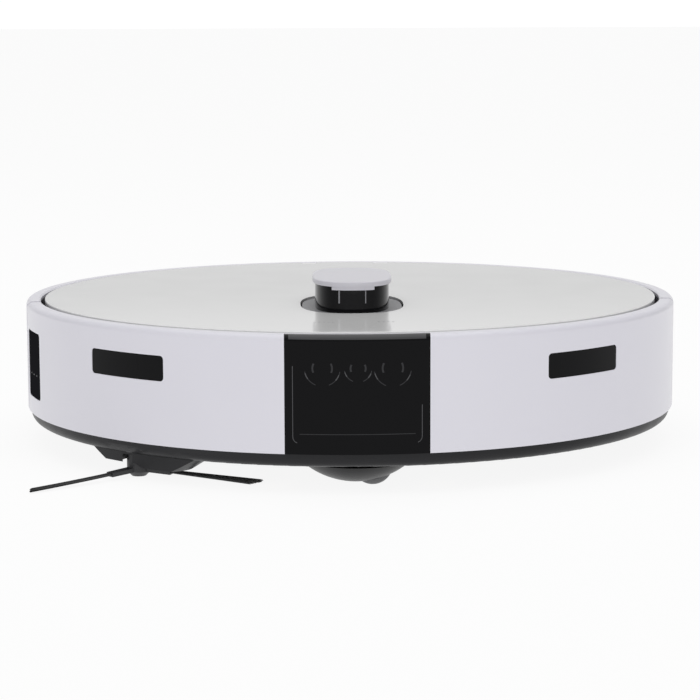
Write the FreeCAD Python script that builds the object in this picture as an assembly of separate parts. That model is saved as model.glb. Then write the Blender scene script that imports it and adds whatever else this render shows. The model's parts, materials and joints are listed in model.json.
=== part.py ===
"""Robot vacuum cleaner, built as an assembly of separate sub-parts.

Frame: millimetres, +Z up, the floor is z = 0, the front of the machine faces -Y,
and the origin is under the centre of the round body.
"""
import FreeCAD, Part
import math
import os

V = FreeCAD.Vector

# ---- Driving dimensions (mm) ------------------------------------------------------------
# Round body
body_radius = 176.5          # outer wall of bumper and rear shell
base_inset = 1.7             # black chassis, set in from the outer wall
base_bottom = 13.2           # ground clearance
base_plate = 3.0             # thickness of the chassis floor
base_edge_round = 4.5
base_rim_wall = 3.8
seam_height = 19.9           # top edge of the chassis rim
seam_gap = 0.2
wall = 3.0                   # outer wall of bumper and rear shell
shell_top = 78.0
shoulder_round = 3.0
rim_width = 7.7              # flat rim, from the outer wall in to the lid's opening
rim_chamfer = 0.8
flange_thickness = 2.4
deck_thickness = 2.6
deck_drop = 9.0              # from the shell's top down to the deck's upper face
frame_bumper_gap = 3.5       # inner frame behind the bumper, on top of its travel
frame_wall = 2.4
exhaust_slots = 9
exhaust_start = 34.0         # degrees from straight back towards -X
exhaust_step = 2.6
exhaust_width = 3.2
exhaust_bottom = 36.0
exhaust_top = 60.0
tab_angles = (-60, 0, 60)    # feet of the rear shell, from straight back
tab_half_width = 8.0
tab_thickness = 3.0
rib_angles = (45, 95, 135)   # upright ribs of the inner frame
rib_half_width = 9.0

# Lid
lid_thickness = 2.6
lid_proud = 0.3              # lid top above the shell's top
lid_gap = 2.3                # all round, between lid and rim
lid_edge_round = 0.7
hinge_inset = 6.5            # hinge line, in from the lid's rear edge
hinge_spacing = 22.0         # half the distance between the two hinge ears
ear_width = 8.0
ear_thickness = 3.0
seat_inset = 3.5             # raised ring that the lid rests on
seat_width = 2.5
seat_gap = 0.1
seat_break = 50.0            # half the seat's opening at the hinge
ear_side_gap = 0.3
knuckle_radius = 1.8
knuckle_length = 6.0
hinge_pin_radius = 0.9

# Bumper
bumper_travel = 2.0
bumper_end = 33.0            # the bumper lies in front of the plane Y = -bumper_end
bumper_slit = 3.0            # open seam between bumper and rear shell
window_half_width = 35.1
window_thickness = 1.6
trim_half_width = 33.0
trim_height = 2.1
trim_depth = 5.0
view_half_width = 29.4       # opening behind the window
view_bottom = 23.2
view_top = 72.0
view_corner = 4.0
slot_angle = 40.3            # side slots, degrees from straight ahead
slot_width = 49.1
slot_bottom = 52.1
slot_top = 64.8
slot_corner = 2.0
side_window_angle = 72.8     # tall window, on the -X side only
side_window_width = 29.2
side_window_bottom = 29.4
side_window_top = 64.7
insert_recess = 0.3
insert_thickness = 2.0
camera_gap = 1.6
camera_inset = 1.5           # bracket behind the inner frame's front
camera_plate = 2.5
lens_z = 61.0
lens_layout = ((-16.7, 8.3), (0.3, 6.6), (17.1, 8.5))    # place along X, tube radius
lens_wall = 1.4
lens_tube = 3.2
lens_seat = 2.4
shelf_z = 28.2
guide_spacing = 66.0         # half the distance between the guide pins
guide_height = 45.0
guide_radius = 2.5
guide_boss_radius = 4.3
guide_block = 12.0
switch_offset = 22.0         # bumper switches, outboard of the guide pins
switch_half = 5.0
switch_depth = 7.0
bumper_spring_radius = 3.7
spring_wire = 0.4

# Turret
turret_y = -50.0
cap_width = 41.5
cap_length = 73.0
cap_band = 2.5
turret_rise = 15.3           # cap's top above the lid's top
neck_width = 39.0
neck_length = 70.0
neck_wall = 1.6
neck_gap = 0.2
opening_width = 54.4
opening_length = 86.0
opening_seam = 0.9
turret_deck_drop = 1.0       # below the lid's top
turret_deck_thickness = 2.2
lip_width = 22.0
lip_height = 1.8
rotor_radius = 15.0
rotor_offset = 14.0          # forward of the turret's centre
rotor_pulley_radius = 11.0
rotor_lift = 3.0             # pulleys above the deck
rotor_eye_radius = 4.4
rotor_eye_x = 6.2
rotor_eye_z = 7.0
pulley_flange = 1.0
pulley_cheek = 0.6
motor_pulley_radius = 4.0
belt_span = 30.0
belt_thickness = 0.9
belt_width = 2.4
lidar_shaft_radius = 4.0
lidar_motor_radius = 8.0
lidar_motor_length = 14.0
lidar_spindle_radius = 1.0
lidar_spindle_depth = 8.0

# Drive wheels
wheel_x = 118.0
wheel_radius = 31.0
wheel_width = 22.0
tyre_depth = 7.0
hub_dish_depth = 4.0
tread_depth = 1.2
tread_count = 24
tread_groove = 2.4
axle_radius = 4.0
pivot_ahead = 32.0           # suspension pivot, which is also the motor's axis
pivot_rise = 13.0            # above the wheel's axle
drive_motor_radius = 11.0
drive_motor_length = 33.0
arm_thickness = 10.5
arm_pivot_round = 14.0
arm_wheel_round = 13.0
wheel_side_gap = 1.5
well_wall = 1.5
well_roof_gap = 2.0
well_side_gap = 3.0          # outboard of the tyre
well_pivot_gap = 4.0         # ahead of the arm's round end
well_tyre_gap = 5.0          # behind the tyre
suspension_spring_coil = 4.0
suspension_spring_wire = 0.5

# Front caster
caster_camera_gap = 1.5      # socket behind the camera bracket
caster_wheel_radius = 10.0
caster_wheel_width = 12.0
caster_trail = 8.0
caster_side_wall = 0.5       # between the wheel's slot and the drum's side, at its thinnest
caster_slot_gap = 1.2        # round the wheel
caster_cheek_gap = 0.6       # beside the wheel
caster_crown = 4.0           # over the wheel's slot
caster_socket_wall = 1.5
caster_dome_radius = 41.0
caster_dome_bottom = 1.2
caster_gap = 0.5
caster_pin_radius = 3.0
caster_pin_length = 11.5
caster_axle_radius = 1.5

# Main brush
brush_y = 30.0
brush_floor_gap = 2.4        # roller above the floor
stub_gap = 1.7               # roller's end stubs above the chassis floor
brush_radius = 18.0
brush_core_radius = 8.0
brush_half_length = 82.0
brush_fin_count = 6
brush_fin = 2.2
brush_stub_radius = 2.5
brush_mouth_gap = 2.0
brush_wall = 1.5
brush_motor_radius = 10.0
brush_motor_length = 40.0

# Side brush, at the front on the -X side
side_brush_inset = 11.26      # its axis, in from the chassis edge
side_brush_angle = 41.7      # degrees from straight ahead towards -X
side_hub_radius = 6.0
side_hub_bottom = 0.6
side_hub_top = 11.8
side_arm_length = 67.0
side_arm_width = 4.0
side_arm_root = 3.9          # above the hub's lower end
side_arm_tip = 0.7           # above the floor
side_holder_length = 12.0
side_holder_half = 2.6
side_arm_angles = (100.0, 220.0, 340.0)
side_shaft_radius = 2.4
side_gear_round = 6.0
side_gear_height = 8.0
side_motor_offset = 26.0
side_motor_radius = 12.0
side_motor_length = 20.0
mound_radius = 18.0          # shallow mound round the brush
mound_bottom = 8.2
mound_turn = -33.0
toe_radius = 13.0            # its lower toe, on the inboard side
toe_bottom = 6.4

# Dustbin, filter and fan
bin_half_width = 70.0
bin_front = 62.0
bin_depth = 78.0
bin_wall = 1.8
bin_gap = 1.5
duct_half_width = 44.0
duct_rise = 3.6              # duct's floor above the roller's axis
duct_height = 12.0
duct_wall = 1.5
filter_depth = 10.0
filter_y = 84.0
filter_width = 38.0
filter_height = 34.0
filter_z = 41.0
pleat_count = 9
fan_radius = 24.0
fan_wall = 1.4
fan_length = 31.8
fan_bin_gap = 5.5
fan_inlet_radius = 11.0
fan_shaft_radius = 2.0
impeller_radius = 20.5
blade_count = 9
blade_lean = 28.0
fan_motor_radius = 12.0
fan_motor_length = 20.0

# Battery, electronics and small parts
battery_half_width = 55.0
battery_front = -112.0
battery_rear = -44.0
battery_height = 28.0
cover_margin = 4.5           # battery cover, wider than the battery
cover_lap = 3.5
board_thickness = 1.6
chip_layout = ((-30, -90, 9), (8, -84, 7), (38, -96, 6), (-38, -60, 5), (30, -62, 8))    # x, y, half side
chip_height = 1.4
button_radius = 7.0
button_x = 62.0
button_y = -104.0
button_travel = 1.0
stem_radius = 4.0
contact_x = 40.0
contact_y = -150.0
contact_half = 6.0
contact_proud = 0.5
contact_thickness = 1.2
screw_head_radius = 3.0
screw_shank_radius = 1.4
screw_angles = (35, 72, 108, 145, 195, 215, 305, 328)
screw_inset = 14.0
screw_boss_radius = 4.0
screw_boss_height = 8.0
screw_head_low = 0.8         # recessed in the chassis floor
screw_head_high = 2.4
cliff_angles = (-65, -115, 10, 170, -20)    # downward-looking drop sensors
cliff_half_length = 8.0
cliff_half_width = 3.5
cliff_thickness = 1.4
cliff_inset = 15.5

# Clearances
running = 0.06               # radial, shaft in bore
play = 0.5                   # between parts that pass one another

# ---- Heights and places that follow ------------------------------------------------------
plate_top = base_bottom + base_plate
wall_bottom = seam_height + seam_gap
wall_inner = body_radius - wall
base_radius = body_radius - base_inset
rim_inner = body_radius - rim_width
lid_radius = rim_inner - lid_gap
flange_bottom = shell_top - flange_thickness
deck_top = shell_top - deck_drop
deck_bottom = deck_top - deck_thickness
lid_top = shell_top + lid_proud
lid_bottom = lid_top - lid_thickness
frame_outer = wall_inner - bumper_travel - frame_bumper_gap
seat_outer = lid_radius - seat_inset
seat_inner = seat_outer - seat_width
seat_top = lid_bottom - seat_gap
hinge_y = lid_radius - hinge_inset
hinge_z = lid_top - knuckle_radius
turret_height = lid_top + turret_rise
neck_top = turret_height - cap_band - neck_gap
rotor_y = turret_y - rotor_offset
motor_pulley_y = rotor_y + belt_span
hub_radius = wheel_radius - tyre_depth
pivot_y = -pivot_ahead
pivot_z = wheel_radius + pivot_rise
wheel_in = wheel_x - wheel_width / 2
wheel_out = wheel_x + wheel_width / 2
arm_out = wheel_in - wheel_side_gap
arm_in = arm_out - arm_thickness
well_in = arm_in - play
well_out = wheel_out + well_side_gap
well_front = pivot_y - arm_pivot_round - well_pivot_gap
well_rear = wheel_radius + well_tyre_gap
caster_body_radius = caster_trail + caster_wheel_radius + caster_side_wall
caster_slot_top = caster_wheel_radius * 2 + caster_slot_gap
caster_socket_radius = caster_body_radius + caster_gap + caster_socket_wall
camera_front = -frame_outer + camera_inset
caster_y = camera_front + camera_plate + caster_camera_gap + caster_socket_radius
side_brush_r = base_radius - side_brush_inset
side_brush_x = -side_brush_r * math.sin(math.radians(side_brush_angle))
side_brush_y = -side_brush_r * math.cos(math.radians(side_brush_angle))
brush_z = max(brush_radius + brush_floor_gap, plate_top + brush_stub_radius + stub_gap)
duct_bottom = brush_z + duct_rise
duct_top = duct_bottom + duct_height
bin_rear = bin_front + bin_depth

os.makedirs("parts", exist_ok=True)
nodes = {}


# ---- Helpers ------------------------------------------------------------------------------
def box(x0, x1, y0, y1, z0, z1):
    """Block between two corners."""
    return Part.makeBox(x1 - x0, y1 - y0, z1 - z0, V(x0, y0, z0))


def cyl(radius, z0, z1, x=0.0, y=0.0):
    """Upright cylinder."""
    return Part.makeCylinder(radius, z1 - z0, V(x, y, z0))


def cyl_x(radius, x0, x1, y, z):
    """Cylinder along X."""
    low, high = min(x0, x1), max(x0, x1)
    return Part.makeCylinder(radius, high - low, V(low, y, z), V(1, 0, 0))


def cyl_y(radius, y0, y1, x, z):
    """Cylinder along Y."""
    return Part.makeCylinder(radius, y1 - y0, V(x, y0, z), V(0, 1, 0))


def cone(r0, z0, r1, z1, x=0.0, y=0.0):
    """Upright cone frustum."""
    return Part.makeCone(r0, r1, z1 - z0, V(x, y, z0))


def ring(outer, inner, z0, z1, x=0.0, y=0.0):
    """Upright ring."""
    return cyl(outer, z0, z1, x, y).cut(cyl(inner, z0 - 1, z1 + 1, x, y))


def join(shapes):
    """Fuse a list of solids into one and drop the seams between them."""
    total = shapes[0]
    for shape in shapes[1:]:
        total = total.fuse(shape)
    return total.removeSplitter()


def carve(shape, tools):
    """Cut every tool from a shape."""
    for tool in tools:
        shape = shape.cut(tool)
    return shape


def polygon(points, direction):
    """Prism from a closed list of points, pushed along a direction."""
    wire = Part.makePolygon([V(*p) for p in points] + [V(*points[0])])
    return Part.Face(wire).extrude(V(*direction))


def mirror_x(shape):
    """Copy on the other side of the X = 0 plane."""
    return shape.mirror(V(0, 0, 0), V(1, 0, 0))


def on_side(shape, side):
    """A shape drawn at +X, placed on the asked side."""
    return shape if side > 0 else mirror_x(shape)


def oval(width, length, z0, z1, power=2.6, y=turret_y, count=40):
    """Prism with a superellipse outline, used by all of the turret's parts."""
    points = []
    for i in range(count):
        a = 2 * math.pi * i / count
        c, s = math.cos(a), math.sin(a)
        px = width / 2 * math.copysign(abs(c) ** (2 / power), c)
        py = length / 2 * math.copysign(abs(s) ** (2 / power), s)
        points.append(V(px, y + py, z0))
    curve = Part.BSplineCurve()
    curve.interpolate(points, PeriodicFlag=True)
    return Part.Face(Part.Wire(curve.toShape())).extrude(V(0, 0, z1 - z0))


def rounded_rect(half_width, z0, z1, corner, y0, y1):
    """Block seen from the front as a rectangle with round corners."""
    block = box(-half_width, half_width, y0, y1, z0, z1)
    edges = [e for e in block.Edges if abs(e.Vertexes[0].Y - e.Vertexes[-1].Y) > (y1 - y0) / 2]
    return block.makeFillet(corner, edges)


def radial_slot(angle, width, z0, z1, corner, r0, r1):
    """Rounded block that points outwards, at an angle from straight ahead (-Y) towards +X."""
    block = rounded_rect(width / 2, z0, z1, corner, -r1, -r0)
    block.rotate(V(0, 0, 0), V(0, 0, 1), angle)
    return block


def coil(radius, wire, length, turns):
    """Helical spring from z = 0 to z = length."""
    rise = length - 2 * wire
    path = Part.makeHelix(rise / turns, rise, radius)
    start = Part.Wire(Part.makeCircle(wire, V(radius, 0, 0), V(0, 1, 0)))
    spring = Part.Wire(path.Edges).makePipeShell([start], True, True)
    spring.translate(V(0, 0, wire))
    return spring


def hull_of_circles(r0, p0, r1, p1, thickness_start, thickness_end, axis):
    """Belt-shaped plate: two round ends and the common outer tangents between them."""
    dx, dy = p1[0] - p0[0], p1[1] - p0[1]
    span = math.hypot(dx, dy)
    heading = math.atan2(dy, dx)
    lean = math.acos((r0 - r1) / span)
    corners = []
    for radius, centre, sign in ((r0, p0, 1), (r1, p1, 1), (r1, p1, -1), (r0, p0, -1)):
        a = heading + sign * lean
        corners.append((centre[0] + radius * math.cos(a), centre[1] + radius * math.sin(a)))
    if axis == "Z":
        web = polygon([(x, y, thickness_start) for x, y in corners],
                      (0, 0, thickness_end - thickness_start))
        ends = [cyl(r0, thickness_start, thickness_end, *p0), cyl(r1, thickness_start, thickness_end, *p1)]
    else:
        web = polygon([(thickness_start, y, z) for y, z in corners],
                      (thickness_end - thickness_start, 0, 0))
        ends = [cyl_x(r0, thickness_start, thickness_end, *p0),
                cyl_x(r1, thickness_start, thickness_end, *p1)]
    return join([web] + ends)


# ---- Outer shells ---------------------------------------------------------------------------
def outer_ring():
    """Full ring of the outer wall with its round shoulder and the flat rim around the lid."""
    shoulder = shell_top - shoulder_round
    centre = body_radius - shoulder_round
    bend = math.sqrt(0.5) * shoulder_round
    mid = V(centre + bend, 0, shoulder + bend)
    corners = [V(centre, 0, shell_top), V(rim_inner + rim_chamfer, 0, shell_top),
               V(rim_inner, 0, shell_top - rim_chamfer), V(rim_inner, 0, flange_bottom),
               V(wall_inner, 0, flange_bottom), V(wall_inner, 0, wall_bottom),
               V(body_radius, 0, wall_bottom), V(body_radius, 0, shoulder)]
    edges = [Part.LineSegment(a, b).toShape() for a, b in zip(corners, corners[1:])]
    edges.append(Part.Arc(corners[-1], mid, corners[0]).toShape())
    face = Part.Face(Part.Wire(edges))
    return face.revolve(V(0, 0, 0), V(0, 0, 1), 360)


def half_space(y0, y1):
    """Block as wide and tall as the machine, between two Y planes."""
    reach = body_radius + 10
    return box(-reach, reach, y0, y1, -1, turret_height)


def front_slots(clear=0.0, r0=None, r1=None):
    """The two side slots of the bumper, shrunk by a clearance."""
    r0 = body_radius - 12 if r0 is None else r0
    r1 = body_radius + 12 if r1 is None else r1
    return [radial_slot(side * slot_angle, slot_width - 2 * clear, slot_bottom + clear,
                        slot_top - clear, slot_corner, r0, r1) for side in (-1, 1)]


def side_opening(clear=0.0, r0=None, r1=None):
    """The tall window on the -X side."""
    r0 = body_radius - 12 if r0 is None else r0
    r1 = body_radius + 12 if r1 is None else r1
    return radial_slot(-side_window_angle, side_window_width - 2 * clear,
                       side_window_bottom + clear, side_window_top - clear, slot_corner, r0, r1)


def make_bumper():
    """Bumper shell, its windows, and the pins that guide it."""
    front = half_space(-body_radius - 5, -bumper_end)
    whole = outer_ring().common(front)
    window_back = body_radius - window_thickness
    trim_bottom = shell_top - trim_height
    trim_back = body_radius - trim_depth
    zone = box(-window_half_width, window_half_width, -body_radius - 5, -100, 0, turret_height)
    zone = carve(zone, [cyl(window_back, -1, trim_bottom), cyl(trim_back, trim_bottom, turret_height + 1)])
    strip = box(-trim_half_width, trim_half_width, -body_radius - 5, -100, trim_bottom, turret_height)
    view = rounded_rect(view_half_width, view_bottom, view_top, view_corner, -body_radius - 5, -100)
    shell = carve(whole, [zone, view] + front_slots() + [side_opening()])
    filled = whole.common(zone)
    insert = ring(body_radius - insert_recess, body_radius - insert_recess - insert_thickness, 0, shell_top)

    bosses = []
    pins = []
    springs = []
    wall_y = -math.sqrt(wall_inner ** 2 - guide_spacing ** 2)
    block_rear = guide_block_rear()
    for side in (-1, 1):
        x = side * guide_spacing
        boss = cyl_y(guide_boss_radius, wall_y - 2.0, wall_y + 3.5, x, guide_height)
        bosses.append(boss.common(cyl(wall_inner + 0.5, 0, shell_top)))
        pins.append(cyl_y(guide_radius, wall_y + 0.5, block_rear + play, x, guide_height))
        seat = guide_counterbore_bottom()
        length = seat - (wall_y + 3.5)
        spring = coil(bumper_spring_radius, spring_wire, length, 4)
        spring.rotate(V(0, 0, 0), V(1, 0, 0), 90)
        spring.translate(V(x, seat, guide_height))
        springs.append(spring)
    shell = carve(join([shell] + bosses), pins)
    nodes["front_bumper"] = shell
    nodes["bumper_window"] = filled.cut(strip)
    nodes["window_trim"] = filled.common(strip)
    nodes["ir_windows"] = Part.makeCompound([insert.common(s) for s in front_slots(0.05)])
    nodes["side_sensor_window"] = insert.common(side_opening(0.05))
    nodes["bumper_guides"] = Part.makeCompound(pins)
    nodes["bumper_springs"] = Part.makeCompound(springs)


def guide_block_rear():
    """Rear face of the guide blocks on the inner frame."""
    return -math.sqrt((frame_outer - frame_wall) ** 2 - guide_spacing ** 2) + guide_block


def guide_counterbore_bottom():
    """Bottom of the pocket that the bumper spring sits in."""
    return guide_block_rear() - guide_block / 2


def make_rear_shell():
    """Rear half of the outer wall, with the exhaust grille."""
    back = half_space(-bumper_end + bumper_slit, body_radius + 5)
    shell = outer_ring().common(back)
    slots = []
    for i in range(exhaust_slots):
        slot = box(-exhaust_width / 2, exhaust_width / 2, wall_inner - 10, body_radius + 10,
                   exhaust_bottom, exhaust_top)
        slot.rotate(V(0, 0, 0), V(0, 0, 1), exhaust_start + exhaust_step * i)
        slots.append(slot)
    tabs = []
    for angle in tab_angles:
        tab = box(-tab_half_width, tab_half_width, frame_outer + play, wall_inner + 0.5,
                  wall_bottom, wall_bottom + tab_thickness)
        tab.rotate(V(0, 0, 0), V(0, 0, 1), angle)
        tabs.append(tab)
    nodes["rear_shell"] = carve(join([shell] + tabs), slots)


# ---- Chassis -----------------------------------------------------------------------------------
def side_brush_boss():
    """Shallow mound under the chassis floor that surrounds the side brush."""
    first = cone(mound_radius, mound_bottom, mound_radius + 9, base_bottom + 0.1, side_brush_x, side_brush_y)
    turned = math.radians(mound_turn)
    x = side_brush_x + mound_radius * math.cos(turned)
    y = side_brush_y + mound_radius * math.sin(turned)
    second = cone(toe_radius, toe_bottom, toe_radius + 11, base_bottom + 0.1, x, y)
    mound = first.fuse(second)
    return mound.common(cyl(base_radius - base_edge_round + 1.0, 0, base_bottom + 0.1))


def screw_places():
    """Underside screws that hold the chassis to the inner frame."""
    places = []
    for angle in screw_angles:
        a = math.radians(angle)
        r = base_radius - base_rim_wall - screw_inset
        places.append((r * math.cos(a), r * math.sin(a)))
    return places


def cliff_window(angle):
    """One drop sensor window, a bar set flush in the chassis floor."""
    block = box(-cliff_half_length, cliff_half_length, -cliff_half_width, cliff_half_width,
                base_bottom, base_bottom + cliff_thickness)
    block.rotate(V(0, 0, 0), V(0, 0, 1), angle + 90)
    a = math.radians(angle)
    r = base_radius - cliff_inset
    block.translate(V(r * math.cos(a), r * math.sin(a), 0))
    return block


def contact_pad(side):
    """One charging contact, a pad that stands slightly proud of the chassis floor."""
    x = side * contact_x
    return box(x - contact_half, x + contact_half, contact_y - contact_half, contact_y + contact_half,
               base_bottom - contact_proud, base_bottom + contact_thickness)


def make_chassis():
    """Black lower tray with every opening of the underside."""
    tray = cyl(base_radius, base_bottom, seam_height)
    low = [e for e in tray.Edges if e.BoundBox.ZMax < base_bottom + 0.1]
    tray = tray.makeFillet(base_edge_round, low)
    tray = tray.cut(cyl(base_radius - base_rim_wall, plate_top, seam_height + 1))
    tray = tray.fuse(side_brush_boss())
    cuts = []
    for side in (-1, 1):
        x0, x1 = sorted((side * well_in, side * well_out))
        cuts.append(box(x0, x1, well_front + well_wall, well_rear - well_wall,
                        base_bottom - 1, plate_top + 1))
    mouth = brush_half_length + brush_mouth_gap + brush_wall + 0.2
    half = brush_radius + brush_mouth_gap + brush_wall + 0.2
    cuts.append(box(-mouth, mouth, brush_y - half, brush_y + half, base_bottom - 1, plate_top + 1))
    cuts.append(cyl(caster_body_radius + caster_gap, base_bottom - 1, plate_top + 1, 0, caster_y))
    x_edge = battery_half_width + cover_margin + play
    cuts.append(box(-x_edge, x_edge, battery_front - cover_lap - play, battery_rear + cover_lap + play,
                    base_bottom - 1, plate_top + 1))
    cuts.append(cyl(side_hub_radius + 2.5, 0, side_hub_top + play, side_brush_x, side_brush_y))
    cuts.append(cyl(side_shaft_radius + 0.8, 0, plate_top + 1, side_brush_x, side_brush_y))
    cuts += [cliff_window(a) for a in cliff_angles]
    cuts += [contact_pad(s) for s in (-1, 1)]
    bosses = []
    screws = []
    for x, y in screw_places():
        bosses.append(cyl(screw_boss_radius, plate_top, plate_top + screw_boss_height, x, y))
        head = cyl(screw_head_radius, base_bottom + screw_head_low, base_bottom + screw_head_high, x, y)
        head = head.cut(box(x - 2.0, x + 2.0, y - 0.4, y + 0.4, base_bottom, base_bottom + 1.4))
        head = head.cut(box(x - 0.4, x + 0.4, y - 2.0, y + 2.0, base_bottom, base_bottom + 1.4))
        shank_top = plate_top + screw_boss_height - 1
        screws.append(head.fuse(cyl(screw_shank_radius, base_bottom + screw_head_high, shank_top, x, y)))
        cuts.append(cyl(screw_head_radius, base_bottom - 1, base_bottom + screw_head_high, x, y))
        cuts.append(cyl(screw_shank_radius, base_bottom, shank_top, x, y))
    nodes["chassis_base"] = carve(join([tray] + bosses), cuts)
    nodes["base_screws"] = Part.makeCompound(screws)
    nodes["cliff_windows"] = Part.makeCompound([cliff_window(a) for a in cliff_angles])
    nodes["charging_contacts"] = Part.makeCompound([contact_pad(s) for s in (-1, 1)])


def make_inner_frame():
    """Structural frame: deck plate, backing wall behind the bumper, lid seat, hinge ears."""
    deck = cyl(frame_outer, deck_bottom, deck_top)
    backing = ring(frame_outer, frame_outer - frame_wall, plate_top, deck_bottom)
    backing = backing.common(half_space(-body_radius, -bumper_end + bumper_slit + 12))
    seat = ring(seat_outer, seat_inner, deck_top, seat_top)
    seat = seat.cut(box(-seat_break, seat_break, 0, seat_outer + 1, deck_top, seat_top + 1))
    post = ring(frame_outer, frame_outer - frame_wall, plate_top, deck_bottom)
    ribs = []
    for angle in rib_angles:
        rib = post.common(box(-rib_half_width, rib_half_width, 0, body_radius, 0, turret_height))
        rib.rotate(V(0, 0, 0), V(0, 0, 1), angle - 90)
        ribs.append(rib)
    ears = []
    for side in (-1, 1):
        x = side * hinge_spacing
        stem = box(x - ear_width / 2, x + ear_width / 2,
                   hinge_y - ear_thickness / 2, hinge_y + ear_thickness / 2, deck_top, hinge_z)
        ears.append(stem.fuse(cyl_x(knuckle_radius, x - ear_width / 2, x + ear_width / 2, hinge_y, hinge_z)))
    blocks = []
    bores = []
    front = -math.sqrt(frame_outer ** 2 - guide_spacing ** 2)
    for side in (-1, 1):
        x = side * guide_spacing
        block = box(x - 6, x + 6, front, guide_block_rear(), guide_height - 6, guide_height + 6)
        blocks.append(block.common(cyl(frame_outer, 0, deck_top)))
        bores.append(cyl_y(guide_radius + running, front - 20, guide_block_rear() + 1, x, guide_height))
        bores.append(cyl_y(guide_boss_radius + play + 0.1, front - 20, guide_counterbore_bottom(), x,
                           guide_height))
    frame = join([deck, backing, seat] + ribs + ears + blocks)
    cuts = bores + [
        box(-bin_half_width - bin_gap, bin_half_width + bin_gap, bin_front - bin_gap, bin_rear + bin_gap,
            deck_bottom - 1, deck_top + 1),
        box(-view_half_width - camera_gap, view_half_width + camera_gap, -body_radius, -frame_outer + 12,
            view_bottom - 1, view_top - 3),
        cyl(lidar_shaft_radius + running, deck_bottom - 1, deck_top + 1, 0, rotor_y),
        cyl(2.0, deck_bottom - 1, deck_top + 1, 0, motor_pulley_y),
        cyl(stem_radius + running, deck_bottom - 1, deck_top + 1, button_x, button_y),
        side_gear_case(side_gear_round, plate_top - 1, plate_top + 1 + side_gear_height, play),
    ]
    for x, r in lens_layout:
        cuts.append(cyl_y(r + 0.3, -body_radius, -seat_outer - 0.2, x, lens_z))
    for side in (-1, 1):
        x = side * hinge_spacing
        cuts.append(cyl_x(hinge_pin_radius, x - ear_width, x + ear_width, hinge_y, hinge_z))
    nodes["inner_frame"] = carve(frame, cuts)


def make_lid():
    """Flat round lid with its turret opening, and the two hinge pins."""
    disc = cyl(lid_radius, lid_bottom, lid_top)
    upper = [e for e in disc.Edges if e.BoundBox.ZMin > lid_top - 0.1]
    disc = disc.makeFillet(lid_edge_round, upper)
    knuckles = []
    pins = []
    notches = []
    reach = ear_width / 2 + ear_side_gap
    for side in (-1, 1):
        x = side * hinge_spacing
        for end in (-1, 1):
            x0 = x + end * reach
            x1 = x + end * (reach + knuckle_length)
            knuckles.append(cyl_x(knuckle_radius, x0, x1, hinge_y, hinge_z))
        notches.append(box(x - reach, x + reach, hinge_y - 2.4, lid_radius + 1, lid_bottom - 5, lid_top + 1))
        notches.append(cyl_x(hinge_pin_radius + running, x - reach - knuckle_length - 1,
                             x + reach + knuckle_length + 1, hinge_y, hinge_z))
        pins.append(cyl_x(hinge_pin_radius, x - reach - knuckle_length, x + reach + knuckle_length,
                          hinge_y, hinge_z))
    hole = oval(opening_width, opening_length, lid_bottom - 5, lid_top + 1)
    nodes["top_lid"] = carve(join([disc] + knuckles), notches + [hole])
    nodes["lid_hinge_pins"] = Part.makeCompound(pins)


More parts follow.
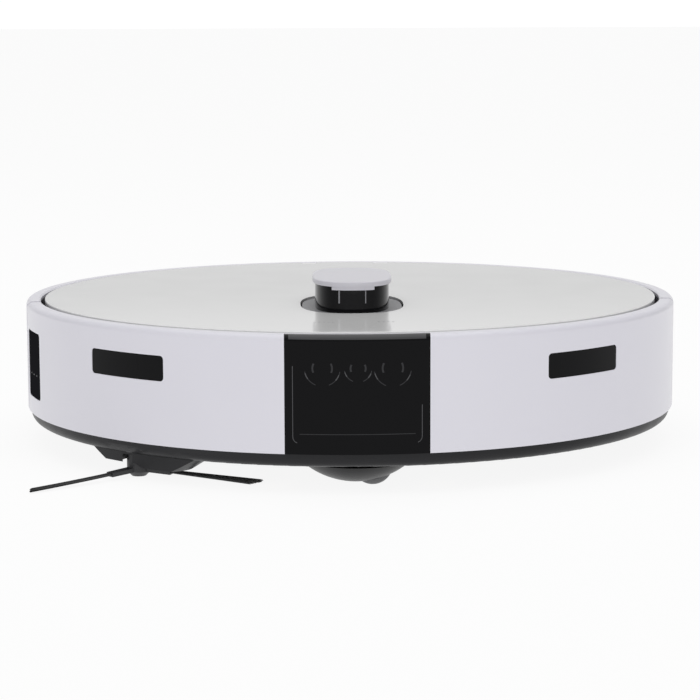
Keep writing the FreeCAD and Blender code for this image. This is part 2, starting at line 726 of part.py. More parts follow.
# ---- Turret ------------------------------------------------------------------------------------
def make_turret():
    """Fixed turret on the deck, with the spinning distance sensor inside."""
    deck_z = lid_top - turret_deck_drop
    plate = oval(opening_width - 2 * opening_seam, opening_length - 2 * opening_seam,
                 deck_z - turret_deck_thickness, deck_z)
    skirt_width = opening_width - 2 * opening_seam - 2.0
    skirt_length = opening_length - 2 * opening_seam - 2.0
    skirt = oval(skirt_width, skirt_length, deck_top, deck_z - turret_deck_thickness)
    skirt = skirt.cut(oval(skirt_width - 3, skirt_length - 3, deck_top - 1, deck_z))
    hole = oval(neck_width, neck_length, deck_top - 1, deck_z + 1)
    nodes["turret_deck"] = join([plate, skirt]).cut(hole)

    inner_width = neck_width - 2 * neck_wall
    inner_length = neck_length - 2 * neck_wall
    tube = oval(neck_width, neck_length, deck_top, neck_top)
    nodes["turret_neck"] = tube.cut(oval(inner_width, inner_length, deck_top - 1, neck_top + 1))

    cap_bottom = turret_height - cap_band
    band = oval(cap_width, cap_length, cap_bottom, turret_height, 2.8)
    top_edges = [e for e in band.Edges if e.BoundBox.ZMin > turret_height - 0.1]
    band = band.makeFillet(0.7, top_edges)
    foot = oval(neck_width - 0.4, neck_length - 0.4, neck_top, cap_bottom)
    lip = oval(cap_width - 0.6, cap_length - 0.6, cap_bottom - lip_height, cap_bottom, 2.8)
    lip = lip.cut(oval(neck_width, neck_length, cap_bottom - lip_height - 1, cap_bottom + 1))
    lip = lip.common(box(-lip_width / 2, lip_width / 2, turret_y - cap_length, turret_y - cap_length / 4,
                         0, turret_height))
    nodes["turret_cap"] = join([band, foot, lip])

    pulley_low = deck_top + rotor_lift
    pulley_high = pulley_low + belt_width + 2 * pulley_cheek
    groove_low = pulley_low + pulley_cheek
    groove_high = groove_low + belt_width
    head_bottom = pulley_high + 1.5
    head_top = neck_top - 1.0
    head = cyl(rotor_radius, head_bottom, head_top, 0, rotor_y)
    for x in (-rotor_eye_x, rotor_eye_x):
        head = head.cut(cyl_y(rotor_eye_radius, rotor_y - rotor_radius - 1, rotor_y - rotor_radius + 7, x,
                              head_bottom + rotor_eye_z))
    flanges = cyl(rotor_pulley_radius + pulley_flange, pulley_low, pulley_high, 0, rotor_y)
    flanges = flanges.cut(ring(rotor_pulley_radius + 2, rotor_pulley_radius, groove_low, groove_high,
                               0, rotor_y))
    stem = cyl(lidar_shaft_radius, deck_bottom - 1, head_bottom, 0, rotor_y)
    nodes["lidar_rotor"] = join([head, flanges, stem])

    small = cyl(motor_pulley_radius + pulley_flange, pulley_low, pulley_high, 0, motor_pulley_y)
    small = small.cut(ring(motor_pulley_radius + 2, motor_pulley_radius, groove_low, groove_high,
                           0, motor_pulley_y))
    motor_top = deck_bottom
    spindle = cyl(lidar_spindle_radius, motor_top - lidar_spindle_depth, pulley_low, 0, motor_pulley_y)
    nodes["lidar_motor_pulley"] = join([small, spindle])
    motor = cyl(lidar_motor_radius, motor_top - lidar_motor_length, motor_top, 0, motor_pulley_y)
    hole = cyl(lidar_spindle_radius + running, motor_top - lidar_spindle_depth - 1, motor_top + 1,
               0, motor_pulley_y)
    nodes["lidar_motor"] = motor.cut(hole)

    low = groove_low + 0.2
    high = groove_high - 0.2
    centres = ((0, rotor_y), (0, motor_pulley_y))
    outside = hull_of_circles(rotor_pulley_radius + running + belt_thickness, centres[0],
                              motor_pulley_radius + running + belt_thickness, centres[1], low, high, "Z")
    inside = hull_of_circles(rotor_pulley_radius + running, centres[0],
                             motor_pulley_radius + running, centres[1], low - 1, high + 1, "Z")
    nodes["lidar_belt"] = outside.cut(inside)


# ---- Drive wheels ------------------------------------------------------------------------------
def make_drive(side, label):
    """One drive module: well, swinging gearbox arm with its motor, hub, tyre and spring."""
    roof = wheel_radius * 2 + well_roof_gap
    shell = box(well_in - well_wall, well_out + well_wall, well_front, well_rear, plate_top, roof + well_wall)
    room = box(well_in, well_out, well_front + well_wall, well_rear - well_wall, plate_top - 1, roof)
    journal = cyl_x(drive_motor_radius + running, well_in - well_wall - 5, well_in + 1, pivot_y, pivot_z)
    collar = cyl_x(drive_motor_radius + 2.5, well_in - well_wall - 2.5, well_in - well_wall, pivot_y, pivot_z)
    nodes["wheel_well_" + label] = on_side(carve(shell.fuse(collar), [room, journal]), side)

    axle_end = wheel_out - 2.0
    plate = hull_of_circles(arm_pivot_round, (pivot_y, pivot_z), arm_wheel_round, (0, wheel_radius),
                            arm_in, arm_out, "X")
    axle = cyl_x(axle_radius, arm_out, axle_end, 0, wheel_radius)
    pad_z = wheel_radius + arm_wheel_round + 0.6
    pad_y = suspension_spring_coil + 1.4
    pad = cyl(suspension_spring_coil + 1.0, pad_z - 7, pad_z, (arm_in + arm_out) / 2, pad_y)
    pad = pad.common(box(arm_in, arm_out, -20, 20, 0, turret_height))
    nodes["suspension_arm_" + label] = on_side(join([plate, axle, pad]), side)

    motor = cyl_x(drive_motor_radius, arm_in - drive_motor_length, arm_in, pivot_y, pivot_z)
    flat = box(arm_in - drive_motor_length - 1, arm_in - 4, pivot_y - 20, pivot_y + 20,
               pivot_z + drive_motor_radius - 1.5, pivot_z + 20)
    flat = flat.cut(box(well_in - well_wall - 4, arm_in, pivot_y - 21, pivot_y + 21, 0, turret_height))
    tail = cyl_x(3.0, arm_in - drive_motor_length - 2, arm_in - drive_motor_length, pivot_y, pivot_z)
    nodes["drive_motor_" + label] = on_side(join([motor.cut(flat), tail]), side)

    hub = cyl_x(hub_radius, wheel_in + 1, wheel_out - 1, 0, wheel_radius)
    dish = cyl_x(hub_radius - 3, wheel_out - hub_dish_depth, wheel_out, 0, wheel_radius)
    back = cyl_x(hub_radius - 3, wheel_in, wheel_in + hub_dish_depth + 1, 0, wheel_radius)
    core = cyl_x(axle_radius + 4, wheel_in + 1, wheel_out - 1, 0, wheel_radius)
    bore = cyl_x(axle_radius + running, wheel_in - 1, axle_end + 0.2, 0, wheel_radius)
    hub = carve(join([carve(hub, [dish, back]), core]), [bore])
    nodes["wheel_hub_" + label] = on_side(hub, side)

    tyre = cyl_x(wheel_radius, wheel_in, wheel_out, 0, wheel_radius)
    tyre = tyre.cut(cyl_x(hub_radius, wheel_in - 1, wheel_out + 1, 0, wheel_radius))
    grooves = []
    for i in range(tread_count):
        groove = box(wheel_in - 1, wheel_out + 1, -tread_groove / 2, tread_groove / 2,
                     wheel_radius * 2 - tread_depth, wheel_radius * 2 + 2)
        groove.rotate(V(0, 0, wheel_radius), V(1, 0, 0), 360.0 * (i + 0.5) / tread_count)
        grooves.append(groove)
    nodes["tyre_" + label] = on_side(tyre.cut(Part.makeCompound(grooves)), side)

    spring = coil(suspension_spring_coil, suspension_spring_wire, roof - pad_z, 5)
    spring.translate(V((arm_in + arm_out) / 2, pad_y, pad_z))
    nodes["suspension_spring_" + label] = on_side(spring, side)


# ---- Caster --------------------------------------------------------------------------------------
def make_caster():
    """Swivelling front caster, drawn trailing towards +X, and its socket in the chassis."""
    body_top = caster_slot_top + caster_crown
    roof = body_top + caster_gap
    pin_top = roof + caster_pin_length
    socket = cyl(caster_socket_radius, plate_top, roof + 1.8, 0, caster_y)
    socket = socket.cut(cyl(caster_body_radius + caster_gap, plate_top - 1, roof, 0, caster_y))
    tower = cyl(caster_pin_radius + 3, roof, pin_top, 0, caster_y)
    bore = cyl(caster_pin_radius + running, roof - 1, pin_top + 1, 0, caster_y)
    nodes["chassis_base"] = join([nodes["chassis_base"], socket, tower]).cut(bore)

    ball = Part.makeSphere(caster_dome_radius, V(0, caster_y, caster_dome_bottom + caster_dome_radius))
    dome_top = base_bottom - 1.0
    dome = ball.common(cyl(caster_dome_radius, 0, dome_top, 0, caster_y))
    drum = cyl(caster_body_radius, dome_top - 2, body_top, 0, caster_y)
    pin = cyl(caster_pin_radius, body_top, pin_top - 0.5, 0, caster_y)
    slot_half = caster_wheel_width / 2 + caster_cheek_gap
    slot = box(caster_trail - caster_wheel_radius - caster_slot_gap,
               caster_trail + caster_wheel_radius + caster_slot_gap,
               caster_y - slot_half, caster_y + slot_half, -1, caster_slot_top)
    half_axle = caster_wheel_width / 2 + 4
    axle = cyl_y(caster_axle_radius, caster_y - half_axle, caster_y + half_axle,
                 caster_trail, caster_wheel_radius)
    nodes["caster_swivel"] = carve(join([dome, drum, pin]), [slot, axle])
    nodes["caster_axle"] = axle

    y0 = caster_y - caster_wheel_width / 2
    wheel = cyl_y(caster_wheel_radius, y0, y0 + caster_wheel_width, caster_trail, caster_wheel_radius)
    wheel = wheel.makeFillet(1.0, [e for e in wheel.Edges if len(e.Vertexes) == 1])
    bore = cyl_y(caster_axle_radius + running, y0 - 1, y0 + caster_wheel_width + 1,
                 caster_trail, caster_wheel_radius)
    nodes["caster_wheel"] = wheel.cut(bore)


# ---- Brushes ---------------------------------------------------------------------------------------
def make_main_brush():
    """Roller, its housing with the suction duct, guard, end bush and drive."""
    room = brush_radius + brush_mouth_gap
    half = brush_half_length + brush_mouth_gap
    outer_half = half + brush_wall
    outer = room + brush_wall
    front = brush_y - outer
    rear = brush_y + outer
    top = brush_z + outer
    block = box(-outer_half, outer_half, front, rear, plate_top - 2.5, top)
    arch = cyl_x(outer, -outer_half, outer_half, brush_y, brush_z)
    lower = box(-outer_half, outer_half, front, rear, plate_top - 2.5, brush_z)
    block = join([arch.common(block), lower])
    cavity = cyl_x(room, -half, half, brush_y, brush_z)
    below = box(-half, half, brush_y - room, brush_y + room, 0, brush_z)
    duct = box(-duct_half_width - duct_wall, duct_half_width + duct_wall, rear - 8, bin_front - 0.5,
               duct_bottom - duct_wall, duct_top + duct_wall)
    duct_room = box(-duct_half_width, duct_half_width, rear - 9, bin_front + 1, duct_bottom, duct_top)
    bush_radius = brush_stub_radius + 3.0
    seats = [cyl_x(brush_stub_radius + 0.6, -outer_half - 1, -half + 1, brush_y, brush_z),
             cyl_x(bush_radius, half - 1, outer_half + 1, brush_y, brush_z)]
    nodes["brush_housing"] = carve(join([block, duct]), [cavity, below, duct_room] + seats)
    bush = cyl_x(bush_radius, half, outer_half, brush_y, brush_z)
    bush = bush.cut(cyl_x(brush_stub_radius + running, half - 1, outer_half + 1, brush_y, brush_z))
    nodes["brush_end_bush"] = bush

    core = cyl_x(brush_core_radius, -brush_half_length, brush_half_length, brush_y, brush_z)
    fins = []
    for i in range(brush_fin_count):
        fin = box(-brush_half_length, brush_half_length, brush_y - brush_fin / 2, brush_y + brush_fin / 2,
                  brush_z + brush_core_radius - 1, brush_z + brush_radius)
        fin.rotate(V(0, brush_y, brush_z), V(1, 0, 0), 360.0 * i / brush_fin_count)
        fins.append(fin)
    drive_end = outer_half + 4.0
    stub = cyl_x(brush_stub_radius, -drive_end, outer_half - 0.2, brush_y, brush_z)
    nodes["main_brush"] = join([core, stub] + fins)

    case_in = outer_half + 0.2
    case_out = case_in + 5.5
    motor_z = top + brush_motor_radius + 2.0
    case = box(-case_out, -case_in, brush_y - 12, brush_y + 12, plate_top + 0.2, motor_z + brush_motor_radius)
    motor = cyl_x(brush_motor_radius, -case_in, -case_in + brush_motor_length, brush_y, motor_z)
    shaft_hole = cyl_x(brush_stub_radius + running, -drive_end - 0.5, -case_in + 1, brush_y, brush_z)
    nodes["main_brush_motor"] = carve(join([case, motor]), [shaft_hole])

    guard_low = base_bottom - 1.6
    clear = math.sqrt(brush_radius ** 2 - (brush_z - guard_low) ** 2) + brush_mouth_gap
    guard = box(-outer_half - 4, outer_half + 4, front - 4, rear + 4, guard_low, base_bottom)
    upright = [e for e in guard.Edges if abs(e.Vertexes[0].Z - e.Vertexes[-1].Z) > 1.0]
    guard = guard.makeFillet(6.0, upright)
    guard = guard.cut(box(-half, half, brush_y - clear, brush_y + clear, 0, base_bottom + 1))
    nodes["main_brush_guard"] = guard


def side_motor_place():
    """Axis of the side brush motor, inboard of the brush's own axis."""
    r = math.hypot(side_brush_x, side_brush_y)
    share = (r - side_motor_offset) / r
    return side_brush_x * share, side_brush_y * share


def side_gear_case(end_round, low, high, grow=0.0):
    """Flat gear case that reaches from the brush's axis inboard to the motor."""
    return hull_of_circles(end_round + grow, (side_brush_x, side_brush_y), side_motor_radius + 1.0 + grow,
                           side_motor_place(), low, high, "Z")


def make_side_brush():
    """Three-armed side brush and its motor."""
    x, y = side_brush_x, side_brush_y
    skirt = cone(3.6, side_hub_bottom, side_hub_radius, side_hub_bottom + 2.4, x, y)
    hub = join([skirt, cyl(side_hub_radius, side_hub_bottom + 2.4, side_hub_top, x, y),
                cyl(side_shaft_radius, side_hub_top, plate_top + side_gear_height - 1.5, x, y)])
    root_z = side_hub_bottom + side_arm_root
    tip_z = side_arm_tip
    reach = side_arm_length
    holders = []
    strips = []
    for angle in side_arm_angles:
        holder_reach = side_hub_radius + side_holder_length
        droop = (root_z - tip_z) * holder_reach / reach
        holder = polygon([(0, -side_holder_half, root_z + 0.9), (0, -side_holder_half, root_z - 1.3),
                          (holder_reach, -side_holder_half, root_z - 1.3 - droop),
                          (holder_reach, -side_holder_half, root_z + 0.7 - droop)],
                         (0, 2 * side_holder_half, 0))
        strip = polygon([(holder_reach - 6, -side_arm_width / 2, root_z - droop - 0.5),
                         (reach, -side_arm_width / 2, tip_z - 0.5),
                         (reach, -side_arm_width / 2, tip_z + 0.5),
                         (holder_reach - 6, -side_arm_width / 2, root_z - droop + 0.5)],
                        (0, side_arm_width, 0))
        for piece, group in ((holder, holders), (strip, strips)):
            piece.rotate(V(0, 0, 0), V(0, 0, 1), angle)
            piece.translate(V(x, y, 0))
            group.append(piece)
    nodes["side_brush_hub"] = carve(join([hub] + holders), strips)
    nodes["side_brush_bristles"] = Part.makeCompound(strips)
    low = plate_top + 0.5
    high = low + side_gear_height
    case = side_gear_case(side_gear_round, low, high)
    motor = cyl(side_motor_radius, high, high + side_motor_length, *side_motor_place())
    bore = cyl(side_shaft_radius + running, low - 1, high - 1.5, x, y)
    nodes["side_brush_motor"] = join([case, motor]).cut(bore)


# ---- Dust path -------------------------------------------------------------------------------------
def make_dustbin():
    """Lift-out dustbin with its own lid, filter and suction opening."""
    low = plate_top + 2.0
    high = deck_bottom - 6.0
    body = box(-bin_half_width, bin_half_width, bin_front, bin_rear, low, high)
    room = box(-bin_half_width + bin_wall, bin_half_width - bin_wall, bin_front + bin_wall,
               bin_rear - bin_wall, low + bin_wall, high + 1)
    inlet = box(-duct_half_width, duct_half_width, bin_front - 1, bin_front + bin_wall + 1,
                duct_bottom, duct_top)
    y0 = filter_y - filter_width / 2
    y1 = filter_y + filter_width / 2
    z0 = filter_z - filter_height / 2
    z1 = filter_z + filter_height / 2
    outlet = box(-bin_half_width - 1, -bin_half_width + bin_wall + 1, y0 + 2, y1 - 2, z0 + 2, z1 - 2)
    nodes["dustbin"] = carve(body, [room, inlet, outlet])

    cover = box(-bin_half_width, bin_half_width, bin_front, bin_rear, high, deck_top - 1.0)
    upright = [e for e in cover.Edges if abs(e.Vertexes[0].Z - e.Vertexes[-1].Z) > 3.0]
    cover = cover.makeFillet(2.0, upright)
    hollow = box(-bin_half_width + bin_wall, bin_half_width - bin_wall, bin_front + bin_wall,
                 bin_rear - bin_wall, high - 1, deck_top - 1.0 - bin_wall)
    finger = cyl(26.0, high + 2.5, deck_top + 1, 0, filter_y + 14)
    floor = cyl(27.5, high + 1.0, deck_top - 1.0, 0, filter_y + 14)
    bar = box(-30, 30, filter_y + 10, filter_y + 18, deck_top - 4.0, deck_top - 1.0)
    nodes["dustbin_lid"] = join([carve(join([cover.cut(hollow), floor]), [finger]), bar])

    x0 = -bin_half_width + bin_wall
    frame = box(x0, x0 + filter_depth, y0, y1, z0, z1)
    frame = frame.cut(box(x0 - 1, x0 + filter_depth + 1, y0 + 2, y1 - 2, z0 + 2, z1 - 2))
    nodes["filter_frame"] = frame
    pitch = (filter_width - 4.0) / pleat_count
    near = x0 + 1.0
    far = x0 + filter_depth - 1.6
    fold = []
    for i in range(pleat_count):
        fold += [(near, y0 + 2 + i * pitch), (far, y0 + 2 + (i + 0.5) * pitch)]
    fold.append((near, y1 - 2))
    sheet = [(x, y, z0 + 2) for x, y in fold] + [(x + 0.6, y, z0 + 2) for x, y in reversed(fold)]
    nodes["filter_pleats"] = polygon(sheet, (0, 0, filter_height - 4))


def make_fan():
    """Suction fan beside the dustbin: housing, wheel and motor on one axis along X."""
    front = -bin_half_width - fan_bin_gap
    back = front - fan_length
    axis = (filter_y, filter_z + 1.0)
    shell = cyl_x(fan_radius, back, front, *axis)
    room = cyl_x(fan_radius - fan_wall, back + fan_wall, front - fan_wall, *axis)
    inlet = cyl_x(fan_inlet_radius, front - fan_wall - 1, front + 1, *axis)
    outlet = box(back + 5, front - 6, axis[0], axis[0] + fan_radius + 2, axis[1] + 8, axis[1] + 18)
    bore = cyl_x(fan_shaft_radius + 1, back - 1, back + fan_wall + 1, *axis)
    nodes["fan_housing"] = carve(shell, [room, inlet, outlet, bore])
    disc = cyl_x(impeller_radius, back + fan_wall + 1.5, back + fan_wall + 3.5, *axis)
    boss = cyl_x(5.0, back + fan_wall + 1.5, back + fan_wall + 14, *axis)
    shaft = cyl_x(fan_shaft_radius, back - 12, back + fan_wall + 2, *axis)
    blades = []
    for i in range(blade_count):
        blade = box(back + fan_wall + 3.0, back + fan_wall + 13, axis[0] + 4, axis[0] + impeller_radius - 0.5,
                    axis[1] - 0.6, axis[1] + 0.6)
        blade.rotate(V(0, axis[0] + 4, axis[1]), V(1, 0, 0), blade_lean)
        blade.rotate(V(0, *axis), V(1, 0, 0), 360.0 * i / blade_count)
        blades.append(blade)
    wheel = join([disc, boss, shaft] + blades)
    nodes["fan_impeller"] = wheel.common(cyl_x(impeller_radius, back - 20, front, *axis))
    motor = cyl_x(fan_motor_radius, back - fan_motor_length, back, *axis)
    nodes["fan_motor"] = motor.cut(cyl_x(fan_shaft_radius + running, back - 12.5, back + 1, *axis))


# ---- Battery, electronics, button --------------------------------------------------------------------
def make_power():
    """Battery, its cover, the main board with its switch, and the power button."""
    low = plate_top + 0.6
    high = low + battery_height
    pack = box(-battery_half_width, battery_half_width, battery_front, battery_rear, low, high)
    pack = pack.makeFillet(3.0, [e for e in pack.Edges if abs(e.Vertexes[0].Z - e.Vertexes[-1].Z) > 5])
    nodes["battery_pack"] = pack
    x_edge = battery_half_width + cover_margin
    cover = box(-x_edge, x_edge, battery_front - cover_lap, battery_rear + cover_lap, base_bottom, plate_top)
    cover = cover.cut(box(-battery_half_width, battery_half_width, battery_front, battery_rear,
                          base_bottom + 1.6, plate_top + 1))
    ribs = [box(-battery_half_width, battery_half_width, y - 0.8, y + 0.8, base_bottom + 1.5, plate_top)
            for y in (battery_front + 20, (battery_front + battery_rear) / 2, battery_rear - 20)]
    nodes["battery_cover"] = join([cover] + ribs)
    board_z = high + 2.0
    board = box(-battery_half_width, battery_half_width, battery_front - 4, battery_rear + 4,
                board_z, board_z + board_thickness)
    board_top = board_z + board_thickness
    chips = [box(x - s, x + s, y - s, y + s, board_top, board_top + chip_height) for x, y, s in chip_layout]
    cap_low = deck_top + button_travel + 0.5
    button = cyl(button_radius, cap_low, cap_low + 2.4, button_x, button_y)
    button = button.makeFillet(0.6, [e for e in button.Edges if e.BoundBox.ZMin > cap_low + 2.3])
    stem = cyl(stem_radius, deck_bottom - 4, cap_low, button_x, button_y)
    nodes["power_button"] = join([button, stem])
    switch_top = deck_bottom - 4 - button_travel - 0.2
    switch = box(button_x - 6, button_x, button_y - 3, button_y + 3, board_top, switch_top)
    tab = box(battery_half_width, button_x + 4, button_y - 5, button_y + 5, board_z, board_top)
    nodes["main_board"] = join([board, tab, switch] + chips)


def make_camera():
    """Front camera block behind the bumper window: bracket, two lenses and a light."""
    front = camera_front
    half = view_half_width + 1.0
    plate = box(-half, half, front, front + camera_plate, view_bottom + 0.5, view_top - 4)
    plate = plate.common(cyl(frame_outer + 1.4, 0, turret_height))
    tubes = [cyl_y(r, front - lens_tube, front + lens_tube, x, lens_z) for x, r in lens_layout]
    bores = [cyl_y(r - lens_wall, front - 4, front + lens_seat, x, lens_z) for x, r in lens_layout]
    shelf = box(-view_half_width + 2, view_half_width - 2, front - 1.0, front, shelf_z, shelf_z + 1.2)
    nodes["camera_bracket"] = carve(join([plate, shelf] + tubes), bores)
    glass = []
    for x, r in lens_layout:
        barrel = cyl_y(r - lens_wall, front - lens_seat, front + lens_seat, x, lens_z)
        ball = Part.makeSphere(3.0 * r, V(x, front - lens_seat + 0.2 + 3.0 * r, lens_z))
        glass.append(barrel.common(ball.fuse(cyl_y(r, front, front + 8, x, lens_z))))
    nodes["camera_lenses"] = Part.makeCompound([glass[0], glass[2]])
    nodes["light_emitter"] = glass[1]


def make_switches():
    """Two small switches on the inner frame that feel the bumper move."""
    pair = []
    x = guide_spacing + switch_offset
    y = -math.sqrt((frame_outer - frame_wall) ** 2 - (x + switch_half) ** 2) + 1.0
    for side in (-1, 1):
        pair.append(box(side * x - switch_half, side * x + switch_half, y, y + switch_depth,
                        guide_height - 4, guide_height + 8))
    nodes["bumper_switches"] = Part.makeCompound(pair)


# ---- Build and export --------------------------------------------------------------------------------
make_bumper()
make_rear_shell()
make_chassis()
make_inner_frame()
make_lid()
make_turret()
make_drive(-1, "left")
make_drive(1, "right")
make_caster()
make_main_brush()
make_side_brush()
make_dustbin()
make_fan()
make_power()
make_camera()
make_switches()

for name, shape in nodes.items():
    if not shape.isValid() or not shape.Solids:
        raise RuntimeError("bad shape: " + name)
    if len(shape.Solids) == 1:
        shape = shape.Solids[0]
    shape.exportStep(os.path.join("parts", name + ".step"))
    print("%-24s solids %d volume %.1f" % (name, len(shape.Solids), shape.Volume))
print(len(nodes), "nodes")
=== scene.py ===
"""Robot vacuum: materials, soft and fine detail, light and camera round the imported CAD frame."""
import json
import math
import random

import bmesh
import bpy
from mathutils import Matrix, Vector, bvhtree


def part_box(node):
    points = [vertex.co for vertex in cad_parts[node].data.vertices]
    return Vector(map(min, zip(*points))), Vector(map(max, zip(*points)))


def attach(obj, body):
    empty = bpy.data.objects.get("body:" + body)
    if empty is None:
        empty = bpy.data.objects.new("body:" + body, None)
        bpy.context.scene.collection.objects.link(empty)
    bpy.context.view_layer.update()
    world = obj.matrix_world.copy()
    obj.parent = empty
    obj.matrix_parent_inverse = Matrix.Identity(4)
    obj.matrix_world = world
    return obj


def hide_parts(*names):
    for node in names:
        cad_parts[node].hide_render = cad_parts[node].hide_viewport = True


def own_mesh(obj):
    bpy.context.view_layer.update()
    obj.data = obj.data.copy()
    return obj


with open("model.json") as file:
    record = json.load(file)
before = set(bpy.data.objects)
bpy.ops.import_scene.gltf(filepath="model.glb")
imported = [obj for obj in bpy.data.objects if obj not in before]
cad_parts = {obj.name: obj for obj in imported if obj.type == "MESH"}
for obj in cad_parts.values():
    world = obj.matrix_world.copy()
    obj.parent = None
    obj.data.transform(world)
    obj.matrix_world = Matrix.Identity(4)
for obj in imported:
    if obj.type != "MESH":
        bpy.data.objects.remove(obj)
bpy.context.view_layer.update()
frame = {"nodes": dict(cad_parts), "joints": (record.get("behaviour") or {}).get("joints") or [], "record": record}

MM = 0.001
random.seed(7)

# ---- Places, all from the frame ------------------------------------------------------------------
joints = {j["name"]: j for j in frame["joints"]}
shell_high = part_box("rear_shell")[1]
lid_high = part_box("top_lid")[1]
BODY_RADIUS = shell_high.x
LID_TOP = lid_high.z


def joint_place(name):
    """A joint's point in the row frame."""
    return Vector(joints[name]["pos_m"])


# ---- Materials -----------------------------------------------------------------------------------
def node(tree, kind, **inputs):
    """New shader node with its inputs set by name."""
    made = tree.nodes.new(kind)
    for key, value in inputs.items():
        made.inputs[key.replace("_", " ")].default_value = value
    return made


def finish_material(name, colour, rough, metal=0.0, level=0.5, coat=0.0, coat_rough=0.05,
                    grain_mm=0.8, grain=0.1, mottle_mm=30.0, mottle=0.03, rough_shift=0.06,
                    sheen=0.0, stretch=(1.0, 1.0, 1.0)):
    """Principled surface with fine grain, uneven gloss and a slight change of tone over it."""
    made = bpy.data.materials.new(name)
    made.use_nodes = True
    tree = made.node_tree
    tree.nodes.clear()
    out = tree.nodes.new("ShaderNodeOutputMaterial")
    shader = tree.nodes.new("ShaderNodeBsdfPrincipled")
    tree.links.new(shader.outputs["BSDF"], out.inputs["Surface"])
    shader.inputs["Metallic"].default_value = metal
    shader.inputs["Specular IOR Level"].default_value = level
    shader.inputs["Coat Weight"].default_value = coat
    shader.inputs["Coat Roughness"].default_value = coat_rough
    shader.inputs["Sheen Weight"].default_value = sheen
    place = tree.nodes.new("ShaderNodeTexCoord")
    scaled = tree.nodes.new("ShaderNodeMapping")
    scaled.inputs["Scale"].default_value = stretch
    tree.links.new(place.outputs["Object"], scaled.inputs["Vector"])

    def noise(size_mm, detail):
        made_noise = node(tree, "ShaderNodeTexNoise", Scale=1.0 / (size_mm * MM), Detail=detail)
        tree.links.new(scaled.outputs["Vector"], made_noise.inputs["Vector"])
        return made_noise

    tone = noise(mottle_mm, 3.0)
    blend = tree.nodes.new("ShaderNodeMix")
    blend.data_type = "RGBA"
    darker = tuple(c * (1.0 - mottle) for c in colour)
    lighter = tuple(min(1.0, c * (1.0 + mottle)) for c in colour)
    blend.inputs["A"].default_value = (*darker, 1.0)
    blend.inputs["B"].default_value = (*lighter, 1.0)
    tree.links.new(tone.outputs["Fac"], blend.inputs["Factor"])
    tree.links.new(blend.outputs["Result"], shader.inputs["Base Color"])

    patch = noise(mottle_mm * 0.4, 4.0)
    spread = tree.nodes.new("ShaderNodeMapRange")
    spread.inputs["To Min"].default_value = max(0.02, rough - rough_shift)
    spread.inputs["To Max"].default_value = rough + rough_shift
    tree.links.new(patch.outputs["Fac"], spread.inputs["Value"])
    tree.links.new(spread.outputs["Result"], shader.inputs["Roughness"])

    fine = noise(grain_mm, 4.0)
    bump = node(tree, "ShaderNodeBump", Strength=grain, Distance=0.05 * MM)
    tree.links.new(fine.outputs["Fac"], bump.inputs["Height"])
    tree.links.new(bump.outputs["Normal"], shader.inputs["Normal"])
    return made


